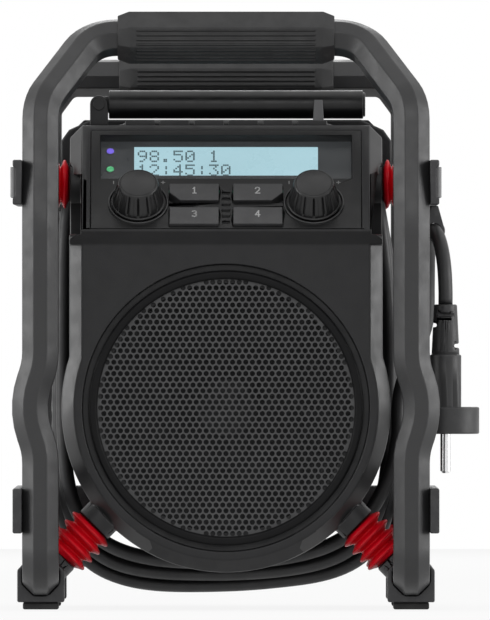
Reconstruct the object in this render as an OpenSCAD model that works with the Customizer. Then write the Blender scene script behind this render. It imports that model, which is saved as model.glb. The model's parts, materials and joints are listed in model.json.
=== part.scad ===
/* [Cage] */
// Distance between the left and right posts' centre lines
post_gap = 179.7; // [178:0.1:190]
// Distance between the front and rear posts' centre lines
post_depth = 172; // [170:1:190]
// Width over the flats of the octagonal cage tube
tube_w = 17.7; // [16:0.1:19]
// Chamfer of the cage tube's corners
tube_chamfer = 5.6; // [5:0.1:6]
// Wall of the cage tube
tube_wall = 2.5; // [2:0.1:3]
// Height of the front hand grip's centre line
front_top_z = 277.7; // [275:0.1:290]
// Height of the rear hand grip's centre line
rear_top_z = 259.3; // [258:0.1:265]
// Length of both hand grips
grip_length = 105.4; // [90:0.2:110]
// Width over the flats of the grips
grip_w = 25.3; // [24:0.1:27]
// Height of the feet and their pads together
foot_h = 19.2; // [18:0.1:20]
// Thickness of the rubber foot pads
pad_h = 3.5; // [3:0.1:4]
// Thickness of the side plates
plate_t = 4.6; // [4:0.1:6]

/* [Radio body] */
// Half width of the front housing over its flanks
body_half_w = 76; // [74:0.5:77]
// Radius of the round lower end of the housing
round_r = 79.9; // [78.5:0.1:80.5]
// Height of the speaker's axis
speaker_z = 97.8; // [97:0.1:100]
// Width of the chamfer around the front face
flank_chamfer = 6.2; // [4:0.1:7]
// Depth of the front face behind the origin
face_depth = 74; // [73:0.5:76]
// Height of the housing's flat top
top_z = 235.3; // [235:0.1:240]
// Depth of the rear face behind the origin
back_depth = 74; // [72:0.5:75]
// Wall of the housings
shell_t = 3; // [2.5:0.1:3.4]
// Slope of the control face from the horizontal
panel_slope = 45; // [44:0.5:46]

/* [Controls] */
// Diameter of a knob at its foot
knob_d = 26; // [22:0.5:27]
// Height of a knob
knob_h = 13.4; // [10:0.1:15]
// Distance of each knob from the middle
knob_x = 42.6; // [42:0.1:44]
// Width of a push button
button_w = 24; // [20:0.5:24.5]
// Length of a push button along the slope
button_l = 11.4; // [9:0.1:11.6]
// Travel of a push button
button_travel = 1; // [0.6:0.1:1.1]
// Width of the display's clear window
window_w = 122.4; // [110:0.2:124]
// Width of the lit part of the display
lcd_w = 89.2; // [80:0.2:96]

/* [Speaker] */
// Radius of the perforated grille's visible face
grille_r = 62.4; // [58:0.1:63]
// Width of the ring around the grille
ring_w = 4.3; // [3:0.1:5]
// Depth of the recess that holds the ring
ring_depth = 3; // [2:0.1:4]

/* [Antenna] */
// Diameter of the folding antenna
antenna_d = 13.8; // [12:0.1:14]
// Length of the antenna from its hinge
antenna_l = 129.9; // [120:0.1:132]

/* [Mains cord] */
// Diameter of the mains cord
cord_d = 7; // [6.6:0.1:7.2]

/* [Hidden] */

// Named clearances: a running fit, a slip fit, a seated joint and a gap that no part crosses.
run_fit = 0.05;
slip = 0.2;
seat = 0.15;
gap = 0.3;
round_fn = 96;
small_fn = 48;

// Cage.
post_x = post_gap / 2;
post_y = post_depth / 2;
hole_w = tube_w - 2 * tube_wall;
hole_chamfer = tube_chamfer - tube_wall * 0.586;
runner_z = 7 + tube_w / 2;
foot_bend_r = 14;
bulge_z = [77, 98, 119];
bulge_x = 7.3;
bulge_foot_r = 35;
bulge_top_r = 40;
lean_z = 187;
lean = 12;
lean_r = 60;
bend_step = 9.5;
knee_z = 245;
knee_r = 20;
top_r = 20;
rear_knee_r = 12;
front_slope = 0.75;
front_lean = post_y - (knee_z - lean_z) * tan(lean);
front_top_y = -front_lean + (front_top_z - knee_z);
front_top_x = post_x - (front_top_z - knee_z) * front_slope;
rear_top_x = post_x - (rear_top_z - knee_z) * front_slope;
grip_rib = [87, 0.9, 0.5];
rear_top_y = post_y - (grip_w - tube_w) / 2 - grip_rib[2];
outer_x = post_x + tube_w / 2;
inner_x = post_x - tube_w / 2;
plate_out = outer_x + plate_t;
upper_mount_z = 206.6;
upper_z = upper_mount_z + 0.5;
upper_h = 21.8;
lower_z = 48;
cap_h = 14.8;
cap_proud = 1.05;
bolt_d = 5;
bolt_head_d = 9.4;
bolt_head_h = 2.6;
foot_w = 22.8;
foot_front = -post_y + foot_bend_r;
foot_back = -46;
foot_bevel = 2.4;
plate_end = 8;
crossbar_t = 10;

// Rubber mounts.
mount_y = 62;
bellows_r = 11.8;
bellows_root_r = 8.6;
bellows_ridges = 4;
mount_line = 104.9;
mount_low = -38.1;
mount_high = -16.4;
mount_boss_r = 8.25;
body_boss_r = 9.5;
upper_mount_y = [-38, 62];
upper_seat_x = 90;
upper_ridges = 3;

// Radio body.
face_y = -face_depth;
back_y = back_depth;
seam_y = 0;
seal_t = 1.5;
flange_t = 3;
neck_half_w = body_half_w - 7;
neck_r = round_r - 8.9;
neck_top_z = 231;
neck_corner_r = 25;
neck_end_y = 52;
shoulder_x = body_half_w + 5;
shoulder_y = [30, 48];
shoulder_z = [197, 228];
rear_top = 238.5;
lip_z = 184;
lip_out = 6;
lip_y = face_y - lip_out;
lip_drop = 7;
speaker_hole_r = 60;
groove_w = 3;
ring_outer_r = grille_r + ring_w;
panel_rim = 4.4;
panel_half_w = window_w / 2 + panel_rim;
panel_t = 3;
panel_inset = 1.3;
panel_rise = (top_z - 1 - lip_z) / sin(panel_slope);
panel_ends = [1.4, panel_rise - 2.5];
panel_ledge = 0.7;

// Places along the control face, measured up the slope from its lower edge.
function up_slope(z) = (z - lip_z) / sin(panel_slope);
window_z = [209.2, 230.4];
window_ends = [up_slope(window_z[0]), up_slope(window_z[1])];
window_frame = 1.4;
window_drop = 0.4;
recess_d = 4.6;
knob_taper = 3.4;
knob_z = 197;
knob_s = up_slope(knob_z);
button_z = [189.9, 201.3];
button_rows = [up_slope(button_z[0]), up_slope(button_z[1])];
button_x = 15.5;
button_proud = 2;
button_chamfer = 5;
switch_gap = button_travel + slip;
switch_w = 6;
board_half_w = panel_half_w - 4.6;
board_ends = [5.5, 64];
board_depth = 15;
board_t = 1.6;
shaft_r = 3;
knob_gap = 0.6;
lcd_l = 19.9;
lcd_s = 52;
lcd_frame = 3.2;
lcd_edge = 2;
lcd_feet = [30, 10, 4];
led_x = 5.2 - window_w / 2;
led_s = [46, 58.4];
led_r = 1.5;
window_t = 1.5;
lcd_t = 2.2;
flange_z = panel_t + gap;
collar_r = 14.6;
pocket_x = 70.4;
pocket_y = -26;
pocket_z = [182, 211];
rib_w = 14.6;
rib_h = 2.4;
rib_pitch = 16.8;

// Speaker, power and battery.
basket_r = 65;
cone_r = basket_r - 6 - seat;
magnet_r = 38;
magnet_h = 17;
basket_depth = 42;
flange_back = face_y + 8;
waist_y = flange_back + basket_depth - magnet_h;
cell_d = 32.5;
cell_l = neck_half_w - shell_t - 6;
cell_cols = 2;
cell_rows = 3;
tray_t = 2;
coil_at = [-30, 30];
coil_r = 13;
coil_wire_r = 7;
tray_z = 128;
tray_h = cell_rows * (cell_d + 1) + 2 * tray_t;
tray_w = cell_cols * (cell_l + 1) + 2 * tray_t;
door_t = shell_t;
door_gap = 0.5;
door_w = tray_w - 4;
door_z = [tray_z - tray_h / 2 + 2, tray_z + tray_h / 2 + 11];
tray_y = [back_y - door_t - gap - cell_d - 2 * tray_t, back_y - door_t - gap];
screw_x = door_w / 2 - 11;
screw_z = door_z[1] - 6.4;
screw_r = 2.5;
screw_head_r = 5.4;
screw_boss_r = 4.2;
shelf_z = [tray_z + tray_h / 2 + gap, tray_z + tray_h / 2 + gap + 2.5];
port_x = 34;
port_z = top_z - 30.3;
port_w = 34;
port_h = 18;
port_t = 2.2;
port_pin_r = 0.7;
port_pin_out = 1.2;
sockets = [-8.5, -1.5];
socket_w = 6.4;
socket_ends = [-5.3, 1.2];
jack_at = [9, -2];
jack_r = 2.9;
board_drop = 5.3;
main_board_x = 52;
main_board_back = 8;
main_board_front = -12;
main_board_notch = [6, 24];
socket_l = 22;
jack_l = 16;
case_screw_r = 1.5;
case_head_r = 3.9;
case_screws = [[neck_half_w - 11, 218], [40, 45]];

// Antenna.
antenna_y = -8;
antenna_x = -62;
antenna_z = 245.5;
fork_w = 4.4;
clip_x = 45;
prong_h = 12.4;

// Mains cord.
cord_r = cord_d / 2;
winding_y = [3.5, 25.5];
gland_x = -body_half_w;
gland_y = 38;
relief_l = 26;
plug_x = 106.6;
plug_y = -54;
plug_top_z = 148;
plug_l = 62.9;
plug_flange_r = 16.4;
plug_flange_l = 13.1;
plug_top_r = 5.6;
relief_from = 24.5;
plug_half_w = 7.6;
pin_r = 2.4;
pin_root_r = 3;
pin_l = 19;
pin_gap = 19;
clip_at = [101.05, -25.3, 183.8];
clip_turn = 7.9;
clip_r = cord_r + 1.8;
clip_hang = [-1.7, 1.9];

// Routes of the cord's free stretches, the first from the gland, and the outline that its
// winding fills.
lead_steps = [
    [0, 0, 205], [0, 0, 190], [0, 0, 171], [0, 0, 160], [-0.5, -1.5, 150], [-1.5, -5, 140],
    [-2, -8.5, 130], [-2, -12, 121]];
lead_route = [for (p = lead_steps) p + [gland_x, gland_y, 0]];
tail_route = [
    [83.9, -0.6, 84], [84, -0.6, 94], [84.8, -0.6, 104], [87.3, -0.6, 113], [91.4, 0.3, 122],
    [95.4, 2, 131], [98, 3.2, 140], [98.5, 3.4, 149], [98.5, 3.4, 155], [98.6, 1.5, 165.4],
    [98.8, -4, 174.4], [99.5, -12.3, 180.8], [100.6, -22, 183.8], [101.5, -28.5, 183.8],
    [103.2, -38.3, 180.8], [104.9, -46.6, 174.4], [106.1, -52.1, 165.4], [plug_x, plug_y, 155],
    [plug_x, plug_y, plug_top_z]];
winding_spread = neck_half_w / 69;
winding_points = [
    [0, 238.3], [30, 238.3], [48, 238], [62, 232], [72, 221], [76.5, 206], [79, 190], [82.5, 170],
    [85, 145], [86, 115], [86, 85], [84.5, 60], [82, 42], [76, 27], [66, 17.5], [48, 12], [31, 9.5],
    [10, 7.6], [-12, 7], [-32, 7], [-46, 9], [-57, 12], [-68, 16.5], [-77, 25], [-83, 42],
    [-86, 62], [-87, 90], [-87, 115], [-86, 145], [-84.5, 170], [-82, 190], [-78.5, 206], [-73, 221],
    [-62, 232], [-48, 238], [-30, 238.3]];
winding_outline = [for (p = winding_points) [p[0] * winding_spread, p[1]]];

function unit(v) = v / norm(v);
function mid(a) = (a[0] + a[1]) / 2;
// v turned by a degrees about the unit vector k
function turned(v, k, a) = v * cos(a) + cross(k, v) * sin(a) + k * (k * v) * (1 - cos(a));
// Points of a smooth closed curve through p, with n steps between neighbours
function smooth_loop(p, n) = let (m = len(p)) [
    for (i = [0 : m - 1], j = [0 : n - 1])
        let (t = j / n, a = p[(i + m - 1) % m], b = p[i], c = p[(i + 1) % m], d = p[(i + 2) % m])
        (2 * b + (c - a) * t + (2 * a - 5 * b + 4 * c - d) * t * t
            + (3 * b - a - 3 * c + d) * t * t * t) / 2];

// Corners of a square of width w whose own corners are cut back by c
function octagon_points(w, c) = let (h = w / 2) [
    [h, c - h], [h, h - c], [h - c, h], [c - h, h], [-h, h - c], [-h, c - h], [c - h, -h],
    [h - c, -h]];
module octagon(w, c) {
    polygon(octagon_points(w, c));
}

// Stations [place, direction, X direction] along the line p, which is bent to radius r[i] at p[i]
function stations(p, r, i = 1, x = [1, 0, 0]) = let (
        a = unit(p[i] - p[i - 1]), last = i == len(p) - 1, b = last ? a : unit(p[i + 1] - p[i]),
        first = i == 1 ? [[p[0], a, x]] : [])
    last ? concat(first, [[p[i], a, x]]) : let (
        axis = unit(cross(a, b)), bend = acos(a * b), side = cross(axis, a), n = ceil(bend / bend_step),
        centre = p[i] - a * r[i] * tan(bend / 2) + side * r[i])
    concat(first,
        [for (k = [0 : n]) let (t = bend * k / n)
            [centre - turned(side, axis, t) * r[i], turned(a, axis, t), turned(x, axis, t)]],
        stations(p, r, i + 1, turned(x, axis, bend)));

// Octagonal tube along the line p, bent to radius r[i] at p[i]
module bent_tube(p, r) {
    at = stations(p, r);
    m = len(at);
    shape = [octagon_points(tube_w, tube_chamfer), octagon_points(hole_w, hole_chamfer)];
    all = [for (q = shape, s = at, v = q) s[0] + s[2] * v[0] + cross(s[1], s[2]) * v[1]];
    sides = [for (w = [0, 1], i = [0 : m - 2], k = [0 : 7])
        let (a = (w * m + i) * 8, b = a + 8, j = (k + 1) % 8)
        for (f = [[a + k, b + k, b + j], [a + k, b + j, a + j]])
            w == 0 ? f : [f[0], f[2], f[1]]];
    ends = [for (e = [0, 1], k = [0 : 7])
        let (a = e * (m - 1) * 8, b = a + m * 8, j = (k + 1) % 8)
        for (f = [[a + k, a + j, b + j], [a + k, b + j, b + k]])
            e == 0 ? f : [f[0], f[2], f[1]]];
    polyhedron(all, concat(sides, ends));
}

function mirrored(p) = [for (i = [len(p) - 1 : -1 : 0]) [-p[i][0], p[i][1], p[i][2]]];
function backwards(v) = [for (i = [len(v) - 1 : -1 : 0]) v[i]];

// Left half of a hoop's centre line, from the runner's middle up, for posts at the depth y
function leg(y) = [
    [-post_x, 0, runner_z], [-post_x, y, runner_z], [-post_x, y, bulge_z[0]],
    [-post_x - bulge_x, y, bulge_z[1]], [-post_x, y, bulge_z[2]]];
leg_r = [0, foot_bend_r, bulge_foot_r, bulge_top_r, bulge_foot_r];

module hoop(points, radii) {
    bent_tube(concat(points, mirrored(points)), concat(radii, backwards(radii)));
}

// Cylinder of radius r along X, Y or Z between two ends
module along_x(r, ends, fn = small_fn) {
    translate([ends[0], 0, 0]) rotate([0, 90, 0]) cylinder(r = r, h = ends[1] - ends[0], $fn = fn);
}
module along_y(r, ends, fn = small_fn) {
    translate([0, ends[0], 0]) rotate([-90, 0, 0]) cylinder(r = r, h = ends[1] - ends[0], $fn = fn);
}
module along_z(r, ends, fn = small_fn) {
    translate([0, 0, ends[0]]) cylinder(r = r, h = ends[1] - ends[0], $fn = fn);
}
// Box from one corner to the other
module box(a, b) {
    translate(a) cube(b - a);
}

// Solid whose outline, seen from the front, is its 2D child, between two depths
module from_front(ends) {
    translate([0, ends[1], 0]) rotate([90, 0, 0]) linear_extrude(ends[1] - ends[0]) children();
}
// Solid whose outline, seen from the right with the back on the right, is its 2D child
module from_side(half_w) {
    rotate([90, 0, 90]) translate([0, 0, -half_w]) linear_extrude(2 * half_w) children();
}

// Both ends of every side plate, as places on the left side
function plate_ends(z) = [
    for (s = [-1, 1]) [s * (post_y - (s < 0 && z > lean_z ? (z - lean_z) * tan(lean) : 0)), z]];

module bolt_holes(r) {
    for (z = [lower_z, upper_z], e = plate_ends(z), s = [-1, 1])
        translate([0, e[0], e[1]])
            along_x(r, s < 0 ? [-plate_out - 1, -post_x] : [post_x, plate_out + 1]);
}

module front_hoop() {
    color([0.1, 0.1, 0.11]) difference() {
        hoop(
            concat(leg(-post_y), [
                [-post_x, -post_y, lean_z], [-post_x, -front_lean, knee_z],
                [-front_top_x, front_top_y, front_top_z]]),
            concat(leg_r, [lean_r, knee_r, top_r]));
        bolt_holes(bolt_d / 2 + run_fit);
    }
}

module rear_hoop() {
    color([0.1, 0.1, 0.11]) difference() {
        hoop(
            concat(leg(post_y), [[-post_x, post_y, knee_z], [-rear_top_x, rear_top_y, rear_top_z]]),
            concat(leg_r, [rear_knee_r, rear_knee_r]));
        bolt_holes(bolt_d / 2 + run_fit);
    }
}

// A hand grip on the bar at the origin, with ribs on the facets that the palm and fingers hold
module grip(rib_rows) {
    chamfer = grip_w * 0.312;
    taper = 5.5;
    rib = grip_rib;
    difference() {
        union() {
            rotate([0, 90, 0]) {
                translate([0, 0, taper - grip_length / 2])
                    linear_extrude(grip_length - 2 * taper) octagon(grip_w, chamfer);
                for (s = [0, 180]) rotate([s, 0, 0]) hull() {
                    translate([0, 0, grip_length / 2 - taper - 0.01])
                        linear_extrude(0.02) octagon(grip_w, chamfer);
                    translate([0, 0, grip_length / 2 - 0.02])
                        linear_extrude(0.02) octagon(grip_w - 4.2, chamfer - 1.3);
                }
            }
            for (f = rib_rows, k = [-1.5 : 1 : 1.5])
                rotate([f, 0, 0])
                    translate([-rib[0] / 2, k * 2.3 - rib[1] / 2,
                        (f % 90 == 0 ? grip_w / 2 : (grip_w - chamfer) / sqrt(2)) - 0.01])
                        cube(rib);
        }
        along_x(norm([tube_w / 2, tube_w / 2 - tube_chamfer]) + run_fit, [-grip_length, grip_length]);
    }
}

module front_grip() {
    color([0.13, 0.13, 0.14]) translate([0, front_top_y, front_top_z]) grip([90, 135]);
}

module rear_grip() {
    color([0.13, 0.13, 0.14]) translate([0, rear_top_y, rear_top_z]) grip([90, 135]);
}

// A plate on the outer flats of a front and a rear post; side is -1 for left and 1 for right
module side_plate(side, z, h) {
    ends = plate_ends(z);
    mirror([side < 0 ? 1 : 0, 0, 0]) difference() {
        union() {
            box([outer_x, ends[0][0] - plate_end, z - h / 2],
                [plate_out, ends[1][0] + plate_end, z + h / 2]);
            if (z > lean_z) for (y = upper_mount_y)
                translate([0, y, upper_mount_z])
                    along_x(mount_boss_r, [upper_seat_x, outer_x + 1]);
        }
        for (e = ends) translate([0, e[0], e[1]]) {
            along_x(bolt_d / 2 + run_fit, [outer_x - 1, plate_out + 1]);
            along_x(bolt_head_d / 2 + slip, [plate_out - bolt_head_h - 0.2, plate_out + 1]);
        }
        if (z > lean_z)
            box([plate_out - cap_proud, ends[0][0] - plate_end - 1, z - cap_h / 2 - run_fit],
                [plate_out + 1, ends[1][0] + plate_end + 1, z + cap_h / 2 + run_fit]);
    }
}

module upper_plate_left() { color([0.12, 0.12, 0.13]) side_plate(-1, upper_z, upper_h); }
module upper_plate_right() { color([0.12, 0.12, 0.13]) side_plate(1, upper_z, upper_h); }
module lower_plate_left() { color([0.12, 0.12, 0.13]) side_plate(-1, lower_z, upper_h); }
module lower_plate_right() { color([0.12, 0.12, 0.13]) side_plate(1, lower_z, upper_h); }

// Cover strips that lie in the upper plates' grooves
module plate_caps() {
    ends = plate_ends(upper_z);
    y = [ends[0][0] - plate_end + 0.5, ends[1][0] + plate_end - 0.5];
    for (s = [0, 1]) color([0.2, 0.2, 0.21]) mirror([s, 0, 0])
        translate([plate_out, 0, upper_z - cap_h / 2]) linear_extrude(cap_h) polygon([
            [-cap_proud, y[0]], [0, y[0]], [cap_proud, y[0] + cap_proud],
            [cap_proud, y[1] - cap_proud], [0, y[1]], [-cap_proud, y[1]]]);
}

module rear_crossbar() {
    color([0.1, 0.1, 0.11])
        box([-inner_x, post_y - crossbar_t / 2, lower_z - upper_h / 2],
            [inner_x, post_y + crossbar_t / 2, lower_z + upper_h / 2]);
}

// One foot: a block around the runner with the 45 degree boss that carries a rubber mount
module foot(side, end) {
    lower = [post_x - foot_w / 2, foot_front, pad_h];
    color([0.11, 0.11, 0.12]) mirror([side < 0 ? 1 : 0, 0, 0]) mirror([0, end > 0 ? 1 : 0, 0])
        difference() {
            union() {
                box(lower, [post_x + foot_w / 2, foot_back, foot_h]);
                from_front([foot_front, foot_back]) translate([post_x, foot_h]) polygon([
                    [-foot_w / 2, -1], [-foot_w / 2, 0], [foot_bevel - foot_w / 2, foot_bevel],
                    [foot_w / 2 - foot_bevel, foot_bevel], [foot_w / 2, 0], [foot_w / 2, -1]]);
                translate([mount_line / 2, -mount_y, mount_line / 2]) rotate([0, -45, 0])
                    along_z(mount_boss_r, [mount_low - 9, mount_low]);
            }
            from_front([foot_front - 1, foot_back + 1]) translate([post_x, runner_z])
                octagon(tube_w + 2 * run_fit, tube_chamfer);
        }
}
module foot_front_left() { foot(-1, -1); }
module foot_front_right() { foot(1, -1); }
module foot_rear_left() { foot(-1, 1); }
module foot_rear_right() { foot(1, 1); }

module foot_pads() {
    inset = 2.7;
    for (s = [0, 1], t = [0, 1]) color([0.06, 0.06, 0.06])
        mirror([s, 0, 0]) mirror([0, t, 0])
            box([post_x - foot_w / 2 + inset, foot_front + inset, 0],
                [post_x + foot_w / 2 - inset, foot_back - inset, pad_h]);
}

module frame_bolts() {
    shank = plate_t + tube_wall + 2;
    for (z = [lower_z, upper_z], e = plate_ends(z), s = [0, 1])
        color([0.25, 0.25, 0.26]) mirror([s, 0, 0]) translate([0, e[0], e[1]]) difference() {
            union() {
                along_x(bolt_d / 2, [plate_out - 0.5 - shank, plate_out - cap_proud - 0.5]);
                along_x(bolt_head_d / 2,
                    [plate_out - bolt_head_h - 0.2, plate_out - cap_proud - 0.15]);
            }
            along_x(1.6, [plate_out - bolt_head_h + 0.4, plate_out], 6);
        }
}

// Rubber bellows of ridges between two ends on the Z axis, with a hole through it
module bellows(ends, ridges) {
    pitch = (ends[1] - ends[0]) / ridges;
    difference() {
        rotate_extrude($fn = round_fn) polygon(concat(
            [[0, ends[0]]],
            [for (i = [0 : ridges - 1]) for (q = [
                [bellows_root_r, 0], [bellows_r, 0.42], [bellows_r, 0.58]])
                [q[0], ends[0] + (i + q[1]) * pitch]],
            [[bellows_root_r, ends[1]], [0, ends[1]]]));
        along_z(3, [ends[0] - 1, ends[1] + 1]);
    }
}

module lower_bellows() {
    for (s = [0, 1], t = [-1, 1]) color([0.8, 0.02, 0.08])
        mirror([s, 0, 0]) translate([mount_line / 2, t * mount_y, mount_line / 2])
            rotate([0, -45, 0]) bellows([mount_low + seat, mount_high - seat], bellows_ridges);
}

module upper_bellows() {
    for (s = [0, 1], y = upper_mount_y) color([0.8, 0.02, 0.08])
        mirror([s, 0, 0]) translate([0, y, upper_mount_z]) rotate([0, 90, 0])
            bellows([body_half_w + seat, upper_seat_x - seat], upper_ridges);
}

// Outline of the radio body seen from the front: a round lower end under straight flanks
module body_outline(inset, top) {
    w = body_half_w - inset;
    bevel = flank_chamfer;
    translate([0, speaker_z]) circle(r = round_r - inset, $fn = round_fn);
    polygon([
        [-w, speaker_z], [w, speaker_z], [w, top - bevel], [w - bevel, top], [bevel - w, top],
        [-w, top - bevel]]);
}

// Body block with a chamfer around its face at y = face, up to the height top
module body_block(inset, face, back, top) {
    w = body_half_w - inset;
    r = round_r - inset;
    c = flank_chamfer;
    translate([0, face, speaker_z]) rotate([-90, 0, 0]) {
        cylinder(r1 = r - c, r2 = r, h = c, $fn = round_fn);
        translate([0, 0, c]) cylinder(r = r, h = back - face - c, $fn = round_fn);
    }
    translate([0, 0, speaker_z]) linear_extrude(top - speaker_z) polygon([
        [c - w, face], [w - c, face], [w, face + c], [w, back], [-w, back], [-w, face + c]]);
}

// Wedges that cut a block's two upper edges back to the outline's bevel
module top_corners(top) {
    c = flank_chamfer;
    for (s = [0, 1]) mirror([s, 0, 0]) from_front([-200, 200]) polygon([
        [body_half_w + 1, top - c - 1], [body_half_w + 1, top + 1], [body_half_w - c - 1, top + 1]]);
}

// Places its children on the control face: Y runs up the slope and Z stands out of it
module at_panel(x = 0, s = 0, z = 0) {
    translate([0, lip_y, lip_z]) rotate([panel_slope, 0, 0]) translate([x, s, z]) children();
}

// Upper part of the front housing, with the sloped control face
module console(half_w) {
    run = (top_z - 1 - lip_z) / tan(panel_slope);
    far = 400;
    w = body_half_w;
    c = flank_chamfer;
    intersection() {
        from_side(half_w) polygon([
            [face_y, speaker_z], [face_y, lip_z - lip_drop], [lip_y + 0.4, lip_z - 0.8],
            [lip_y, lip_z], [lip_y + run, top_z - 1], [lip_y + run + 2, top_z], [-seal_t, top_z],
            [-seal_t, speaker_z]]);
        at_panel(0, far) rotate([90, 0, 0]) linear_extrude(2 * far) polygon([
            [c - w, 0], [w - c, 0], [w, -c], [w, -far], [-w, -far], [-w, -c]]);
        box([-w, face_y - 20, lip_z - lip_drop], [w, 10, top_z + 1]);
    }
}

module front_housing() {
    cavity_slope = panel_t + shell_t;
    color([0.09, 0.09, 0.1]) difference() {
        union() {
            difference() {
                union() {
                    body_block(0, face_y, -seal_t, lip_z - lip_drop);
                    console(body_half_w);
                }
                top_corners(top_z);
                for (s = [0, 1]) mirror([s, 0, 0])
                    box([pocket_x, face_y - 20, pocket_z[0]], [100, pocket_y, pocket_z[1]]);
                body_block(shell_t, face_y + shell_t, 10, lip_z - lip_drop - 2 * shell_t);
                from_side(pocket_x - shell_t) polygon([
                    [face_y + shell_t, speaker_z],
                    [face_y + shell_t, lip_z + (face_y + shell_t - lip_y) - cavity_slope * sqrt(2)],
                    [lip_y + cavity_slope * sqrt(2) + top_z - shell_t - lip_z, top_z - shell_t],
                    [10, top_z - shell_t], [10, speaker_z]]);
            }
            translate([0, 0, speaker_z])
                along_y(round_r - flank_chamfer, [face_y + 1, face_y + ring_depth + 5], round_fn);
            for (s = [0, 1]) mirror([s, 0, 0]) {
                translate([0, upper_mount_y[0], upper_mount_z])
                    along_x(body_boss_r, [pocket_x - 1, body_half_w]);
                lower_boss(-mount_y);
            }
            for (i = [-2.5 : 1 : 2.5])
                box([i * rib_pitch - rib_w / 2, antenna_y - 16, top_z - 0.5],
                    [i * rib_pitch + rib_w / 2, antenna_y - 9.4, top_z + rib_h]);
        }
        translate([0, 0, speaker_z]) {
            along_y(speaker_hole_r, [face_y - 1, face_y + 20], round_fn);
            along_y(ring_outer_r + groove_w, [face_y - 1, face_y + ring_depth], round_fn);
        }
        at_panel() {
            box([-panel_half_w - seat, panel_ends[0] - seat, -panel_t - seat],
                [panel_half_w + seat, panel_ends[1] + seat, 20]);
            box([panel_inset - panel_half_w, panel_ends[0] + panel_ledge, -12],
                [panel_half_w - panel_inset, panel_ends[1] - panel_inset, 0]);
        }
    }
}

// Boss on the round flank that carries a lower rubber mount
module lower_boss(y) {
    difference() {
        translate([mount_line / 2, y, mount_line / 2]) rotate([0, -45, 0])
            along_z(body_boss_r, [mount_high, mount_high + 12]);
        translate([0, 0, speaker_z]) along_y(round_r - 1, [y - 20, y + 20], round_fn);
    }
}

// Section of the neck that the cord is wound on
module neck_outline(grow) {
    corner = neck_corner_r + grow;
    flat = neck_half_w - neck_corner_r;
    translate([0, speaker_z]) circle(r = neck_r + grow, $fn = round_fn);
    translate([-neck_half_w - grow, speaker_z])
        square([2 * (neck_half_w + grow), neck_top_z - neck_corner_r - speaker_z]);
    translate([-flat, speaker_z]) square([2 * flat, neck_top_z + grow - speaker_z]);
    for (s = [-1, 1]) translate([s * flat, neck_top_z - neck_corner_r]) circle(r = corner, $fn = round_fn);
}

module rear_housing() {
    color([0.08, 0.08, 0.09]) difference() {
        union() {
            from_front([seam_y, seam_y + flange_t]) body_outline(0, top_z);
            from_front([seam_y, neck_end_y]) neck_outline(0);
            for (s = [0, 1]) mirror([s, 0, 0]) from_front(shoulder_y) polygon([
                [0, speaker_z], [neck_half_w - 4, speaker_z], [neck_half_w - 4, shoulder_z[0] - 4],
                [neck_half_w + 1, shoulder_z[0]], [shoulder_x, shoulder_z[0]],
                [shoulder_x, shoulder_z[1]], [shoulder_x - 4, shoulder_z[1] + 5.5],
                [neck_half_w - 3, rear_top], [0, rear_top]]);
        }
        difference() {
            from_front([seam_y - 1, neck_end_y + 1]) neck_outline(-shell_t);
            box([-neck_half_w, seam_y + 8, shelf_z[0]], [neck_half_w, neck_end_y, shelf_z[1]]);
            for (s = [-1, 1], p = case_screws) translate([s * p[0], 0, p[1]])
                along_y(4.5, [neck_end_y - 22, neck_end_y]);
        }
        for (s = [-1, 1], p = case_screws) translate([s * p[0], 0, p[1]])
            along_y(case_screw_r + run_fit, [neck_end_y - 16, neck_end_y + 1]);
        translate([gland_x, gland_y, 0]) along_z(4.6, [shoulder_z[0] - 1, shoulder_z[0] + 12]);
        translate([gland_x, gland_y, shoulder_z[0] + 8]) along_x(cord_r + 0.2, [0, 30]);
    }
}

module housing_seal() {
    color([0.05, 0.05, 0.05]) from_front([-seal_t, seam_y]) difference() {
        body_outline(0.4, top_z - 0.4);
        neck_outline(0);
    }
}

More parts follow.
